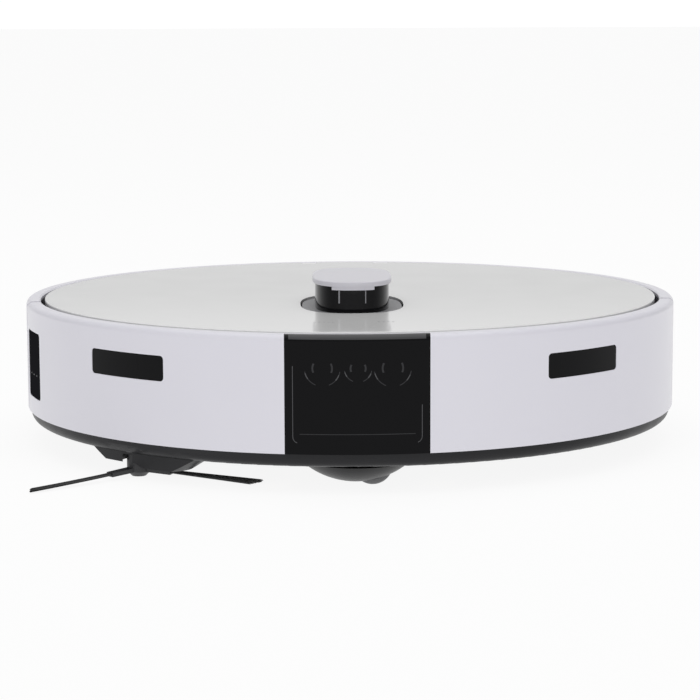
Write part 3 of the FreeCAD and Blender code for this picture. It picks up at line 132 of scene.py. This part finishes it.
def make_materials():
    """Every finish of the machine by its slot's name."""
    m = finish_material
    return {
        "shell_white": m("shell_white", (0.74, 0.73, 0.795), 0.30, grain=0.03, coat=0.15, coat_rough=0.12,
                         mottle=0.012, rough_shift=0.03),
        "lid_white": m("lid_white", (0.80, 0.80, 0.80), 0.09, grain=0.01, mottle=0.008,
                       rough_shift=0.02, mottle_mm=60.0),
        "cap_grey": m("cap_grey", (0.62, 0.61, 0.66), 0.30, grain=0.03, mottle=0.01, rough_shift=0.03),
        "deck_grey": m("deck_grey", (0.22, 0.22, 0.23), 0.45, grain=0.9, grain_mm=0.7, mottle=0.25,
                       mottle_mm=1.2, rough_shift=0.12),
        "chassis_black": m("chassis_black", (0.010, 0.010, 0.012), 0.38, level=0.3, grain=0.22, grain_mm=0.5,
                           mottle=0.12, rough_shift=0.08),
        "frame_black": m("frame_black", (0.012, 0.012, 0.014), 0.55, grain=0.3, grain_mm=0.6, mottle=0.1),
        "smoked_gloss": m("smoked_gloss", (0.0035, 0.0035, 0.0042), 0.07, level=0.1, grain=0.01, mottle=0.05,
                          rough_shift=0.02),
        "neck_gloss": m("neck_gloss", (0.004, 0.004, 0.005), 0.06, level=0.22, grain=0.01, mottle=0.05,
                        rough_shift=0.02),
        "pane_smoke": m("pane_smoke", (0.014, 0.014, 0.016), 0.2, level=0.0, grain=0.02, mottle=0.08),
        "trim_grey": m("trim_grey", (0.055, 0.055, 0.058), 0.34, level=0.3, grain=0.06, mottle=0.04,
                       rough_shift=0.03),
        "lens_glass": m("lens_glass", (0.004, 0.005, 0.009), 0.04, level=0.9, grain=0.0, mottle=0.3,
                        coat=1.0, coat_rough=0.02, rough_shift=0.01),
        "steel": m("steel", (0.55, 0.55, 0.57), 0.28, metal=1.0, grain=0.15, grain_mm=0.3, mottle=0.05),
        "contact_metal": m("contact_metal", (0.78, 0.70, 0.52), 0.24, metal=1.0, grain=0.12, grain_mm=0.25,
                           mottle=0.06, stretch=(1.0, 8.0, 1.0)),
        "bronze_bush": m("bronze_bush", (0.55, 0.36, 0.18), 0.34, metal=1.0, grain=0.2, grain_mm=0.4,
                         mottle=0.08),
        "motor_steel": m("motor_steel", (0.42, 0.42, 0.44), 0.38, metal=1.0, grain=0.2, grain_mm=0.4,
                         mottle=0.06),
        "mech_grey": m("mech_grey", (0.10, 0.105, 0.11), 0.48, grain=0.3, grain_mm=0.6, mottle=0.08),
        "tyre_rubber": m("tyre_rubber", (0.022, 0.022, 0.023), 0.68, grain=0.5, grain_mm=0.5, mottle=0.2,
                         mottle_mm=6.0, sheen=0.1),
        "belt_rubber": m("belt_rubber", (0.02, 0.02, 0.02), 0.7, grain=0.4, grain_mm=0.4, mottle=0.15),
        "caster_black": m("caster_black", (0.007, 0.007, 0.008), 0.36, level=0.18, grain=0.18,
                          grain_mm=0.6, mottle=0.1),
        "caster_wheel": m("caster_wheel", (0.16, 0.16, 0.165), 0.5, grain=0.3, grain_mm=0.5, mottle=0.12,
                          mottle_mm=5.0),
        "brush_rubber": m("brush_rubber", (0.05, 0.052, 0.056), 0.52, grain=0.35, grain_mm=0.6, mottle=0.15,
                          mottle_mm=8.0),
        "side_hub_black": m("side_hub_black", (0.022, 0.022, 0.025), 0.4, grain=0.2, grain_mm=0.5,
                            mottle=0.1),
        "bristle_black": m("bristle_black", (0.018, 0.018, 0.019), 0.42, grain=0.1, grain_mm=0.3, mottle=0.35,
                           mottle_mm=1.5, sheen=0.2),
        "bin_smoke": m("bin_smoke", (0.06, 0.062, 0.068), 0.16, coat=0.3, grain=0.04, mottle=0.05),
        "bin_lid": m("bin_lid", (0.30, 0.30, 0.32), 0.38, grain=0.12, mottle=0.04),
        "filter_frame": m("filter_frame", (0.08, 0.10, 0.16), 0.45, grain=0.2, mottle=0.06),
        "filter_paper": m("filter_paper", (0.72, 0.71, 0.66), 0.85, grain=0.6, grain_mm=0.3, mottle=0.08,
                          mottle_mm=3.0),
        "battery_wrap": m("battery_wrap", (0.03, 0.05, 0.11), 0.3, grain=0.1, mottle=0.08),
        "board_green": m("board_green", (0.02, 0.10, 0.05), 0.35, grain=0.4, grain_mm=0.8, mottle=0.3,
                         mottle_mm=3.0),
        "button_white": m("button_white", (0.72, 0.72, 0.76), 0.3, grain=0.04, mottle=0.01),
        "switch_black": m("switch_black", (0.02, 0.02, 0.02), 0.45, grain=0.2, mottle=0.1),
        "mark_grey": m("mark_grey", (0.26, 0.26, 0.29), 0.45, grain=0.05, mottle=0.05),
        # light grey for the painted highlights on the turret's neck
        "glint_grey": m("glint_grey", (0.30, 0.30, 0.32), 0.35, grain=0.05, mottle=0.15, mottle_mm=4.0),
        # faint_line and dim_line also serve as painted highlights on the lens rings behind the window
        "faint_line": m("faint_line", (0.075, 0.075, 0.08), 0.35, level=0.3, grain=0.05, mottle=0.2,
                        mottle_mm=4.0),
        "dim_line": m("dim_line", (0.022, 0.022, 0.025), 0.3, level=0.3, grain=0.05, mottle=0.3,
                      mottle_mm=4.0),
    }


finishes = make_materials()


# ---- CAD nodes -----------------------------------------------------------------------------------
def paint_nodes():
    """Gives each CAD node the finish of its slot in the record."""
    special = {"turret_neck": "neck_gloss", "side_sensor_window": "pane_smoke"}
    for part in frame["record"]["subparts"]:
        name = part["node"]
        obj = frame["nodes"][name]
        obj.data.materials.clear()
        obj.data.materials.append(finishes[special.get(name, part["material_slot"])])


# ---- Mesh helpers --------------------------------------------------------------------------------
def piece(name, bm, finish, body, stands_for=(), smooth=True):
    """Turns a bmesh into a named piece that rides on a CAD body."""
    bmesh.ops.recalc_face_normals(bm, faces=bm.faces)
    mesh = bpy.data.meshes.new(name)
    bm.to_mesh(mesh)
    bm.free()
    for face in mesh.polygons:
        face.use_smooth = smooth
    mesh.materials.append(finishes[finish])
    obj = bpy.data.objects.new(name, mesh)
    bpy.context.scene.collection.objects.link(obj)
    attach(obj, body)
    if stands_for:
        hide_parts(*stands_for)
    return obj


def tube(bm, points, radii, sides=3):
    """Closed tube through a list of points."""
    rings = []
    for i, point in enumerate(points):
        ahead = points[min(i + 1, len(points) - 1)] - points[max(i - 1, 0)]
        side = ahead.cross(Vector((0, 0, 1)))
        if side.length < 1e-9:
            side = Vector((1, 0, 0))
        side.normalize()
        up = side.cross(ahead).normalized()
        ring = []
        for k in range(sides):
            a = 2 * math.pi * k / sides
            ring.append(bm.verts.new(point + radii[i] * (math.cos(a) * side + math.sin(a) * up)))
        rings.append(ring)
    for low, high in zip(rings, rings[1:]):
        for k in range(sides):
            bm.faces.new((low[k], low[(k + 1) % sides], high[(k + 1) % sides], high[k]))
    bm.faces.new(rings[0][::-1])
    bm.faces.new(rings[-1])


def loft(bm, sections, close_ends=True):
    """Skin over a list of rings that all have the same number of points."""
    rings = [[bm.verts.new(p) for p in section] for section in sections]
    count = len(rings[0])
    for low, high in zip(rings, rings[1:]):
        for k in range(count):
            bm.faces.new((low[k], low[(k + 1) % count], high[(k + 1) % count], high[k]))
    if close_ends:
        bm.faces.new(rings[0][::-1])
        bm.faces.new(rings[-1])


# ---- Side brush ----------------------------------------------------------------------------------
ARM_ANGLES = (100.0, 220.0, 340.0)
ARM_REACH = 66.4 * MM
ARM_START = 11.5 * MM
STRANDS = 110
STRAND_RADIUS = 0.19 * MM
BUNDLE_HALF = 1.7 * MM          # half the bundle's width at its root
BUNDLE_SPLAY = 1.1 * MM         # how much wider it is on each side at its tip
BUNDLE_LIFT = 0.75 * MM         # half its thickness
END_SLANT = 2.6 * MM
ARM_BEND = -1.6 * MM
LOWEST_STRAND = 0.25 * MM       # above the floor


def make_bristles():
    """Three flat bundles of bristles, cut at a slant, in place of the plain strips."""
    bm = bmesh.new()
    centre = joint_place("side_brush_spin")
    root_z, tip_z = 3.9 * MM, 1.3 * MM
    for angle in ARM_ANGLES:
        a = math.radians(angle)
        out = Vector((math.cos(a), math.sin(a), 0))
        side = Vector((-math.sin(a), math.cos(a), 0))
        for i in range(STRANDS):
            place = i / (STRANDS - 1) * 2 - 1
            lift = random.uniform(-1, 1) * BUNDLE_LIFT
            reach = ARM_REACH - (1 - place) * END_SLANT - random.uniform(0, 0.5) * MM
            sway = random.uniform(-0.25, 0.25) * MM
            points = []
            radii = []
            for step in range(8):
                t = step / 7
                r = ARM_START + (reach - ARM_START) * t
                wide = (BUNDLE_HALF + BUNDLE_SPLAY * t) * place + sway * t
                bend = ARM_BEND * t * t
                tilt = 0.35 * MM * place * t
                z = root_z + (tip_z - root_z) * t ** 0.85 + lift * (0.6 + 0.4 * t) + tilt
                p = centre + out * r + side * (wide + bend)
                points.append(Vector((p.x, p.y, max(z, LOWEST_STRAND))))
                radii.append(STRAND_RADIUS * (1.0 - 0.25 * t))
            tube(bm, points, radii)
    piece("side_brush_strands", bm, "bristle_black", "side_brush", stands_for=("side_brush_bristles",))


# ---- Main brush ----------------------------------------------------------------------------------
CORE_RADIUS = 8.0 * MM
CORE_END_ROOM = 3.3 * MM
JOURNAL_RADIUS = 2.5 * MM
BLADE_TWIST = 58.0
TUFTS_IN_ROW = 44


def make_roller():
    """Roller with rubber blades and bristle rows that run in a V along the core."""
    low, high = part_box("main_brush")
    axis = joint_place("main_brush_spin")
    y, z = axis.y, axis.z
    radius = (high.z - low.z) / 2
    half = high.x - CORE_END_ROOM
    core = CORE_RADIUS
    bm = bmesh.new()

    def turned(x, r, a):
        return Vector((x, y + r * math.cos(a), z + r * math.sin(a)))

    profile = [(-half, 6.2), (-half + 1.5 * MM, 7.6), (-half + 4 * MM, 8.0), (half - 4 * MM, 8.0),
               (half - 1.5 * MM, 7.6), (half, 6.2)]
    sides = 40
    loft(bm, [[turned(x, r * MM, 2 * math.pi * k / sides) for k in range(sides)] for x, r in profile])
    for x0, x1 in ((low.x, -half + MM), (half - MM, high.x)):
        loft(bm, [[turned(x, JOURNAL_RADIUS, 2 * math.pi * k / 24) for k in range(24)] for x in (x0, x1)])
    twist = math.radians(BLADE_TWIST)
    steps = 30
    for blade in range(3):
        start = 2 * math.pi * blade / 3
        sections = []
        for i in range(steps + 1):
            x = -half + 2 * MM + (2 * half - 4 * MM) * i / steps
            a = start + twist * abs(x) / half
            thick_low, thick_high = 1.5 * MM, 0.75 * MM
            tip = radius - 0.15 * MM
            section = []
            for r, t in ((core - 0.6 * MM, -thick_low), (core + 2.5 * MM, -thick_high * 1.15),
                         (tip - 1.0 * MM, -thick_high * 0.9), (tip, -thick_high * 0.35),
                         (tip, thick_high * 0.35), (tip - 1.0 * MM, thick_high * 0.9),
                         (core + 2.5 * MM, thick_high * 1.15), (core - 0.6 * MM, thick_low)):
                section.append(turned(x, r, a + t / r))
            sections.append(section)
        loft(bm, sections)
    piece("main_brush_roller", bm, "brush_rubber", "main_brush", stands_for=("main_brush",))

    bm = bmesh.new()
    for row in range(3):
        start = 2 * math.pi * (row + 0.5) / 3
        for i in range(TUFTS_IN_ROW):
            x = -half + 4 * MM + (2 * half - 8 * MM) * i / (TUFTS_IN_ROW - 1)
            a = start + twist * abs(x) / half
            for k in range(7):
                dx = random.uniform(-1.5, 1.5) * MM
                da = random.uniform(-0.06, 0.06)
                tip = radius - random.uniform(0.2, 0.9) * MM
                spread = random.uniform(-0.05, 0.05)
                tube(bm, [turned(x + dx * 0.4, core - 0.5 * MM, a + da * 0.5),
                          turned(x + dx * 0.7, (core + tip) / 2, a + da),
                          turned(x + dx, tip, a + da + spread)],
                     [0.17 * MM, 0.15 * MM, 0.10 * MM])
    piece("main_brush_tufts", bm, "bristle_black", "main_brush")


# ---- Tyres ---------------------------------------------------------------------------------------
TYRE_DEPTH = 6.9 * MM
LUG_DEPTH = 1.5 * MM
LUGS_IN_ROW = 26
LUG_SLANT = 0.11


def make_tyres():
    """Rubber tyres with round shoulders and slanted lugs in two rows."""
    for side in ("left", "right"):
        low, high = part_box("tyre_" + side)
        axis = joint_place("wheel_" + side + "_spin")
        x_mid = (low.x + high.x) / 2
        half = (high.x - low.x) / 2
        radius = (high.z - low.z) / 2
        inner = radius - TYRE_DEPTH
        base = radius - LUG_DEPTH
        bm = bmesh.new()

        def at(x, r, a):
            return Vector((x_mid + x, axis.y + r * math.sin(a), axis.z + r * math.cos(a)))

        section = [(-half, inner), (-half, base - 1.6 * MM), (-half + 0.6 * MM, base - 0.5 * MM),
                   (-half + 1.8 * MM, base), (half - 1.8 * MM, base), (half - 0.6 * MM, base - 0.5 * MM),
                   (half, base - 1.6 * MM), (half, inner)]
        around = 96
        rings = [[bm.verts.new(at(x, r, 2 * math.pi * i / around)) for x, r in section]
                 for i in range(around)]
        for i in range(around):
            here, there = rings[i], rings[(i + 1) % around]
            for k in range(len(section)):
                n = (k + 1) % len(section)
                bm.faces.new((here[k], here[n], there[n], there[k]))
        for row in (-1, 1):
            for i in range(LUGS_IN_ROW):
                centre = 2 * math.pi * (i + (0.25 if row > 0 else 0.0)) / LUGS_IN_ROW
                sections = []
                for t in (0.0, 0.35, 0.8, 1.0):
                    x = row * (0.5 * MM + t * (half - 0.6 * MM))
                    a = centre + LUG_SLANT * t
                    width = 0.075 if t < 0.9 else 0.06
                    top = radius - 0.12 * MM if t < 0.9 else radius - 1.5 * MM
                    foot = base - 0.7 * MM if t < 0.9 else base - 2.2 * MM
                    sections.append([at(x, foot, a - width), at(x, top, a - width * 0.8),
                                     at(x, top, a + width * 0.8), at(x, foot, a + width)])
                loft(bm, sections)
        piece("tyre_tread_" + side, bm, "tyre_rubber", "wheel_" + side, stands_for=("tyre_" + side,),
              smooth=False)


# ---- Bumper springs ------------------------------------------------------------------------------
COIL_RADIUS = 3.7 * MM
COIL_WIRE = 0.4 * MM
COIL_TURNS = 4


def make_bumper_coils():
    """Coil springs behind the bumper."""
    low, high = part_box("bumper_springs")
    length = high.y - low.y
    z = (low.z + high.z) / 2
    bm = bmesh.new()
    steps = COIL_TURNS * 24
    for side in (-1, 1):
        x = side * (high.x - COIL_RADIUS - COIL_WIRE)
        sections = []
        for i in range(steps + 1):
            t = i / steps
            a = 2 * math.pi * COIL_TURNS * t
            radial = Vector((math.cos(a), 0, math.sin(a)))
            along = Vector((0, 1, 0))
            middle = Vector((x, low.y + COIL_WIRE + (length - 2 * COIL_WIRE) * t, z)) + radial * COIL_RADIUS
            sections.append([middle + COIL_WIRE * (math.cos(b) * radial + math.sin(b) * along)
                             for b in (2 * math.pi * k / 8 for k in range(8))])
        loft(bm, sections)
    coils = piece("bumper_coils", bm, "steel", "root", stands_for=("bumper_springs",))
    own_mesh(coils)


# ---- Marks and lines on the shell ----------------------------------------------------------------
def bar_on_lid(bm, x, y, length, width, turn=0.0):
    """Thin raised bar with round ends, lying on the lid."""
    z0, z1 = LID_TOP - 0.05 * MM, LID_TOP + 0.04 * MM
    outline = []
    for k in range(12):
        a = 2 * math.pi * k / 12
        px = math.cos(a) * width / 2 + math.copysign(max(0.0, (length - width) / 2), math.cos(a))
        py = math.sin(a) * width / 2
        outline.append((x + px * math.cos(turn) - py * math.sin(turn),
                        y + px * math.sin(turn) + py * math.cos(turn)))
    loft(bm, [[Vector((px, py, z)) for px, py in outline] for z in (z0, z1)])


MARKS_Y = -128.0 * MM
MARKS_X = 15.5 * MM
MARK_STEP = 2.3 * MM


def make_lid_marks():
    """Two small groups of dots in front of the turret, as a plain stand-in for the lid's legends."""
    bm = bmesh.new()
    for side, count in ((-1, 5), (1, 4)):
        middle = side * MARKS_X
        for i in range(count):
            x = middle + (i - (count - 1) / 2) * MARK_STEP
            bar_on_lid(bm, x, MARKS_Y, 1.3 * MM, 0.8 * MM)
    piece("lid_marks", bm, "mark_grey", "lid")


def wall_strip(bm, path, width, radius, closed=False, lift=0.012):
    """Flat line on the outer wall. path holds (distance along the wall, height) in metres."""
    count = len(path)
    left, right = [], []
    for i in range(count):
        before = path[i - 1] if i > 0 or closed else path[i]
        after = path[(i + 1) % count] if i < count - 1 or closed else path[i]
        dx, dz = after[0] - before[0], after[1] - before[1]
        length = math.hypot(dx, dz)
        nx, nz = -dz / length * width / 2, dx / length * width / 2
        for side, row in ((1, left), (-1, right)):
            s, z = path[i][0] + side * nx, path[i][1] + side * nz
            a = s / radius
            ring = []
            for depth in (-lift * MM, lift * MM):
                r = radius + depth
                ring.append(bm.verts.new((r * math.sin(a), -r * math.cos(a), z)))
            row.append(ring)
    last = count if closed else count - 1
    for i in range(last):
        n = (i + 1) % count
        a, b, c, d = left[i], left[n], right[n], right[i]
        bm.faces.new((a[1], b[1], c[1], d[1]))
        bm.faces.new((a[0], d[0], c[0], b[0]))
        bm.faces.new((a[0], b[0], b[1], a[1]))
        bm.faces.new((d[0], d[1], c[1], c[0]))
    if not closed:
        for i in (0, count - 1):
            bm.faces.new((left[i][0], left[i][1], right[i][1], right[i][0]))


def arc_path(x, z, radius, start, end, steps=28):
    """Points on a circle between two angles, in degrees from straight right."""
    path = []
    for i in range(steps + 1):
        a = math.radians(start + (end - start) * i / steps)
        path.append((x + radius * math.cos(a), z + radius * math.sin(a)))
    return path


LENS_RINGS = ((-16.9, 8.6), (0.3, 6.6), (17.0, 9.0))      # place across and radius, in mm
LENS_HEIGHT = 62.0 * MM


def make_window_lines():
    """What shows faintly behind the smoked window: the frame's edge, a faint line, and the lens rings, drawn only
    as lighter crescents where light catches their edges (painted highlights) with short brighter arcs as painted
    glints.
    """
    bm = bmesh.new()
    edge, foot, corner = 31.3 * MM, 25.6 * MM, 3.0 * MM
    for side in (-1, 1):
        top = 63.0 * MM if side < 0 else 44.0 * MM
        path = [(side * edge, top), (side * edge, foot + corner)]
        path += [(side * (edge - corner + corner * math.cos(a)), foot + corner - corner * math.sin(a))
                 for a in (math.radians(18 * k) for k in range(1, 5))]
        wall_strip(bm, path, 0.35 * MM, BODY_RADIUS)
    piece("window_frame_line", bm, "faint_line", "bumper", smooth=False)

    bm = bmesh.new()
    wall_strip(bm, [(x * MM, 30.0 * MM) for x in range(-28, 29, 4)], 0.35 * MM, BODY_RADIUS)
    # Lower and side arcs only, lighter than the pane: painted highlights on the lens rings' edges.
    for x, r in LENS_RINGS:
        wall_strip(bm, arc_path(x * MM, LENS_HEIGHT, r * MM, 190, 248, 12), 0.4 * MM, BODY_RADIUS)
        wall_strip(bm, arc_path(x * MM, LENS_HEIGHT, r * MM, 292, 350, 12), 0.4 * MM, BODY_RADIUS)
        wall_strip(bm, arc_path(x * MM, LENS_HEIGHT, r * 0.55 * MM, 150, 205, 10), 0.9 * MM, BODY_RADIUS)
        wall_strip(bm, arc_path(x * MM, LENS_HEIGHT, r * 0.55 * MM, 335, 390, 10), 0.9 * MM, BODY_RADIUS)
    piece("window_line_and_lit_ring_edges", bm, "dim_line", "bumper", smooth=False)

    # Short brighter arcs on each ring: painted glints.
    bm = bmesh.new()
    for x, r in LENS_RINGS:
        wall_strip(bm, arc_path(x * MM, LENS_HEIGHT, r * MM, 196, 216, 8), 0.5 * MM, BODY_RADIUS, lift=0.02)
        wall_strip(bm, arc_path(x * MM, LENS_HEIGHT, r * MM, 318, 338, 8), 0.5 * MM, BODY_RADIUS, lift=0.02)
    piece("window_lens_glints", bm, "faint_line", "bumper", smooth=False)


SIDE_WINDOW_ANGLE = 72.8
SIDE_WINDOW_SINK = 0.3 * MM
SIDE_WINDOW_HALF = 13.6 * MM
SIDE_DIVIDER_HEIGHT = 41.8 * MM


def make_side_window_lines():
    """Divider that shows in the tall side window."""
    radius = BODY_RADIUS - SIDE_WINDOW_SINK
    middle = -math.radians(SIDE_WINDOW_ANGLE) * radius
    bm = bmesh.new()
    path = [(middle + SIDE_WINDOW_HALF * t, SIDE_DIVIDER_HEIGHT) for t in (-1, -0.5, 0, 0.5, 1)]
    wall_strip(bm, path, 0.5 * MM, radius)
    piece("side_window_line", bm, "faint_line", "bumper", smooth=False)


HINGE_SPACING = 22.0 * MM
COVER_RADIUS = 1.86 * MM
COVER_HALF = 3.95 * MM


def make_hinge_covers():
    """White caps over the two hinge ears, with a tongue that fills the lid's notch behind each."""
    pivot = joint_place("lid_hinge")
    for side in (-1, 1):
        middle = side * HINGE_SPACING
        edge = math.sqrt(lid_high.x ** 2 - (abs(middle) + 4 * MM) ** 2) - 0.3 * MM
        outline = [(pivot.y + COVER_RADIUS * math.cos(a), pivot.z + COVER_RADIUS * math.sin(a))
                   for a in (math.radians(200 - 10 * k) for k in range(12))]
        outline += [(edge, LID_TOP - 0.1 * MM), (edge, LID_TOP - 1.3 * MM),
                    (pivot.y + 1.5 * MM, LID_TOP - 1.3 * MM)]
        bm = bmesh.new()
        loft(bm, [[Vector((middle + x, y, z)) for y, z in outline] for x in (-COVER_HALF, COVER_HALF)])
        piece("hinge_cover_" + ("left" if side < 0 else "right"), bm, "lid_white", "root",
              smooth=False)


# Two light grey stripes on the neck's glossy front: painted highlights standing in for the studio lights'
# reflections.
NECK_GLINT_STRIPES = ((-7.0 * MM, 1.1 * MM), (6.4 * MM, 0.6 * MM))      # place across and width
NECK_GLINT_HEIGHT = 6.6 * MM


def make_neck_glints():
    """Two thin upright stripes of light grey on the front of the turret's neck: painted highlights for the lights'
    reflections.
    """
    neck = frame["nodes"]["turret_neck"]
    surface = bvhtree.BVHTree.FromObject(neck, bpy.context.evaluated_depsgraph_get())
    to_local = neck.matrix_world.inverted()
    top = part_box("turret_cap")[0].z - 0.3 * MM
    bm = bmesh.new()
    for x, width in NECK_GLINT_STRIPES:
        sections = []
        for z in (top - NECK_GLINT_HEIGHT, top):
            hit = surface.ray_cast(to_local @ Vector((x, -1, z)), Vector((0, 1, 0)))[0]
            y = (neck.matrix_world @ hit).y
            sections.append([Vector((x + dx * width, y + dy * MM, z))
                             for dx, dy in ((-0.5, 0.02), (-0.5, -0.06), (0.5, -0.06), (0.5, 0.02))])
        loft(bm, sections)
    piece("neck_painted_glints", bm, "glint_grey", "root", smooth=False)


def make_button_icon():
    """Plain power mark: an open ring with a short bar."""
    low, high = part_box("power_button")
    centre = (low + high) / 2
    bm = bmesh.new()
    ring = [Vector((centre.x + 3.0 * MM * math.sin(a), centre.y + 3.0 * MM * math.cos(a), high.z))
            for a in (math.radians(40 + 280 * k / 24) for k in range(25))]
    tube(bm, ring, [0.35 * MM] * len(ring), sides=6)
    stroke = [Vector((centre.x, centre.y + t * MM, high.z)) for t in (0.6, 2.0, 3.6)]
    tube(bm, stroke, [0.35 * MM] * 3, sides=6)
    piece("power_icon", bm, "mark_grey", "power_button")


# ---- Stage, light and camera ---------------------------------------------------------------------
FLOOR_GLOW = 0.90          # share of the floor's light that is its own
WORLD_LEVEL = 0.80
SIDE_LEVEL = 0.26          # how bright the surround is to the sides, against the front
BAND_HEIGHT = 0.1180       # sine of the height of the dark band's upper edge
OVERHEAD_POWER = 13.0
FILL_POWER = 4.0


def make_floor():
    """Plain pale floor that reaches the horizon."""
    size = 60.0
    bm = bmesh.new()
    corners = [bm.verts.new((x * size, y * size, 0)) for x, y in ((-1, -1), (1, -1), (1, 1), (-1, 1))]
    bm.faces.new(corners)
    mesh = bpy.data.meshes.new("floor")
    bm.to_mesh(mesh)
    bm.free()
    obj = bpy.data.objects.new("floor", mesh)
    bpy.context.scene.collection.objects.link(obj)
    paint = bpy.data.materials.new("floor_paint")
    paint.use_nodes = True
    tree = paint.node_tree
    tree.nodes.clear()
    out = tree.nodes.new("ShaderNodeOutputMaterial")
    glow = node(tree, "ShaderNodeEmission", Color=(1, 1, 1, 1), Strength=1.0)
    matt = node(tree, "ShaderNodeBsdfDiffuse", Color=(0.92, 0.92, 0.92, 1), Roughness=0.5)
    mixed = node(tree, "ShaderNodeMixShader", Fac=FLOOR_GLOW)
    tree.links.new(matt.outputs["BSDF"], mixed.inputs[1])
    tree.links.new(glow.outputs["Emission"], mixed.inputs[2])
    tree.links.new(mixed.outputs["Shader"], out.inputs["Surface"])
    mesh.materials.append(paint)


def make_world():
    """White studio surround: a little darker to the sides, with a soft band low behind the machine."""
    world = bpy.data.worlds.new("studio")
    bpy.context.scene.world = world
    world.use_nodes = True
    tree = world.node_tree
    tree.nodes.clear()
    out = tree.nodes.new("ShaderNodeOutputWorld")
    back = tree.nodes.new("ShaderNodeBackground")
    back.inputs["Strength"].default_value = WORLD_LEVEL
    tree.links.new(back.outputs["Background"], out.inputs["Surface"])
    place = tree.nodes.new("ShaderNodeTexCoord")
    split = tree.nodes.new("ShaderNodeSeparateXYZ")
    tree.links.new(place.outputs["Generated"], split.inputs["Vector"])
    ramp = tree.nodes.new("ShaderNodeValToRGB")
    ramp.color_ramp.elements.remove(ramp.color_ramp.elements[1])
    first = ramp.color_ramp.elements[0]
    first.position, first.color = 0.0, (1.3, 1.3, 1.3, 1)
    for position, level in ((0.014, 1.3), (0.020, 1.0), (0.090, 0.98), (BAND_HEIGHT, 0.42),
                            (BAND_HEIGHT + 0.0016, 1.0), (1.0, 1.0)):
        stop = ramp.color_ramp.elements.new(position)
        stop.color = (level, level, level, 1)
    tree.links.new(split.outputs["Z"], ramp.inputs["Fac"])
    square = tree.nodes.new("ShaderNodeMath")
    square.operation = "MULTIPLY"
    tree.links.new(split.outputs["X"], square.inputs[0])
    tree.links.new(split.outputs["X"], square.inputs[1])
    side = tree.nodes.new("ShaderNodeMapRange")
    side.inputs["To Min"].default_value = 1.0
    side.inputs["To Max"].default_value = SIDE_LEVEL
    tree.links.new(square.outputs["Value"], side.inputs["Value"])
    mix = tree.nodes.new("ShaderNodeVectorMath")
    mix.operation = "SCALE"
    tree.links.new(ramp.outputs["Color"], mix.inputs[0])
    tree.links.new(side.outputs["Result"], mix.inputs["Scale"])
    tree.links.new(mix.outputs["Vector"], back.inputs["Color"])


def area_light(name, place, target, size, size_y, power, only_on=()):
    """Rectangular soft light aimed at a point, kept to a few objects where only_on names them."""
    data = bpy.data.lights.new(name, "AREA")
    data.shape = "RECTANGLE"
    data.size, data.size_y = size, size_y
    data.energy = power
    obj = bpy.data.objects.new(name, data)
    bpy.context.scene.collection.objects.link(obj)
    obj.location = place
    obj.rotation_mode = "QUATERNION"
    obj.rotation_quaternion = (Vector(target) - Vector(place)).to_track_quat("-Z", "Y")
    if only_on:
        group = bpy.data.collections.new(name + "_receivers")
        for receiver in only_on:
            group.objects.link(receiver)
        obj.light_linking.receiver_collection = group
    return obj


def make_lights():
    """Soft overhead light, a front fill for the white walls, and a strip that only the black base receives."""
    area_light("overhead", (0.0, -0.1, 1.9), (0, 0, 0), 2.2, 2.2, OVERHEAD_POWER)
    nodes = frame["nodes"]
    walls = [nodes[n] for n in ("front_bumper", "rear_shell", "turret_cap")]
    area_light("front_fill", (0.0, -2.4, 0.25), (0, 0, 0.05), 0.8, 0.8, FILL_POWER, walls)
    area_light("strip_base", (-1.45, -1.15, 0.12), (0, 0, 0.02), 0.30, 0.5, 3.0, [nodes["chassis_base"]])


CAMERA_PLACE = (-0.0259, -1.2997, 0.2275)
CAMERA_YAW = 1.14
CAMERA_PITCH = 7.93
CAMERA_ROLL = -0.21
CAMERA_LENS = 122.27


def make_camera():
    """Camera in front, slightly above, turned a little to the machine's right."""
    yaw, pitch, roll = (math.radians(a) for a in (CAMERA_YAW, CAMERA_PITCH, CAMERA_ROLL))
    ahead = Vector((math.sin(yaw), math.cos(yaw), 0))
    level = Vector((math.cos(yaw), -math.sin(yaw), 0))
    rise = ahead * math.sin(pitch) + Vector((0, 0, 1)) * math.cos(pitch)
    sight = ahead * math.cos(pitch) - Vector((0, 0, 1)) * math.sin(pitch)
    right = level * math.cos(roll) + rise * math.sin(roll)
    up = rise * math.cos(roll) - level * math.sin(roll)
    data = bpy.data.cameras.new("camera")
    data.sensor_width = 36.0
    data.lens = CAMERA_LENS
    obj = bpy.data.objects.new("camera", data)
    bpy.context.scene.collection.objects.link(obj)
    turn = Matrix((right, up, -sight)).transposed().to_4x4()
    obj.matrix_world = Matrix.Translation(CAMERA_PLACE) @ turn
    data.clip_start, data.clip_end = 0.01, 200.0
    bpy.context.scene.camera = obj


paint_nodes()
make_bristles()
make_roller()
make_tyres()
make_bumper_coils()
make_lid_marks()
make_window_lines()
make_side_window_lines()
make_hinge_covers()
make_neck_glints()
make_button_icon()
make_floor()
make_world()
make_lights()
make_camera()
bpy.context.scene.view_settings.view_transform = "Standard"
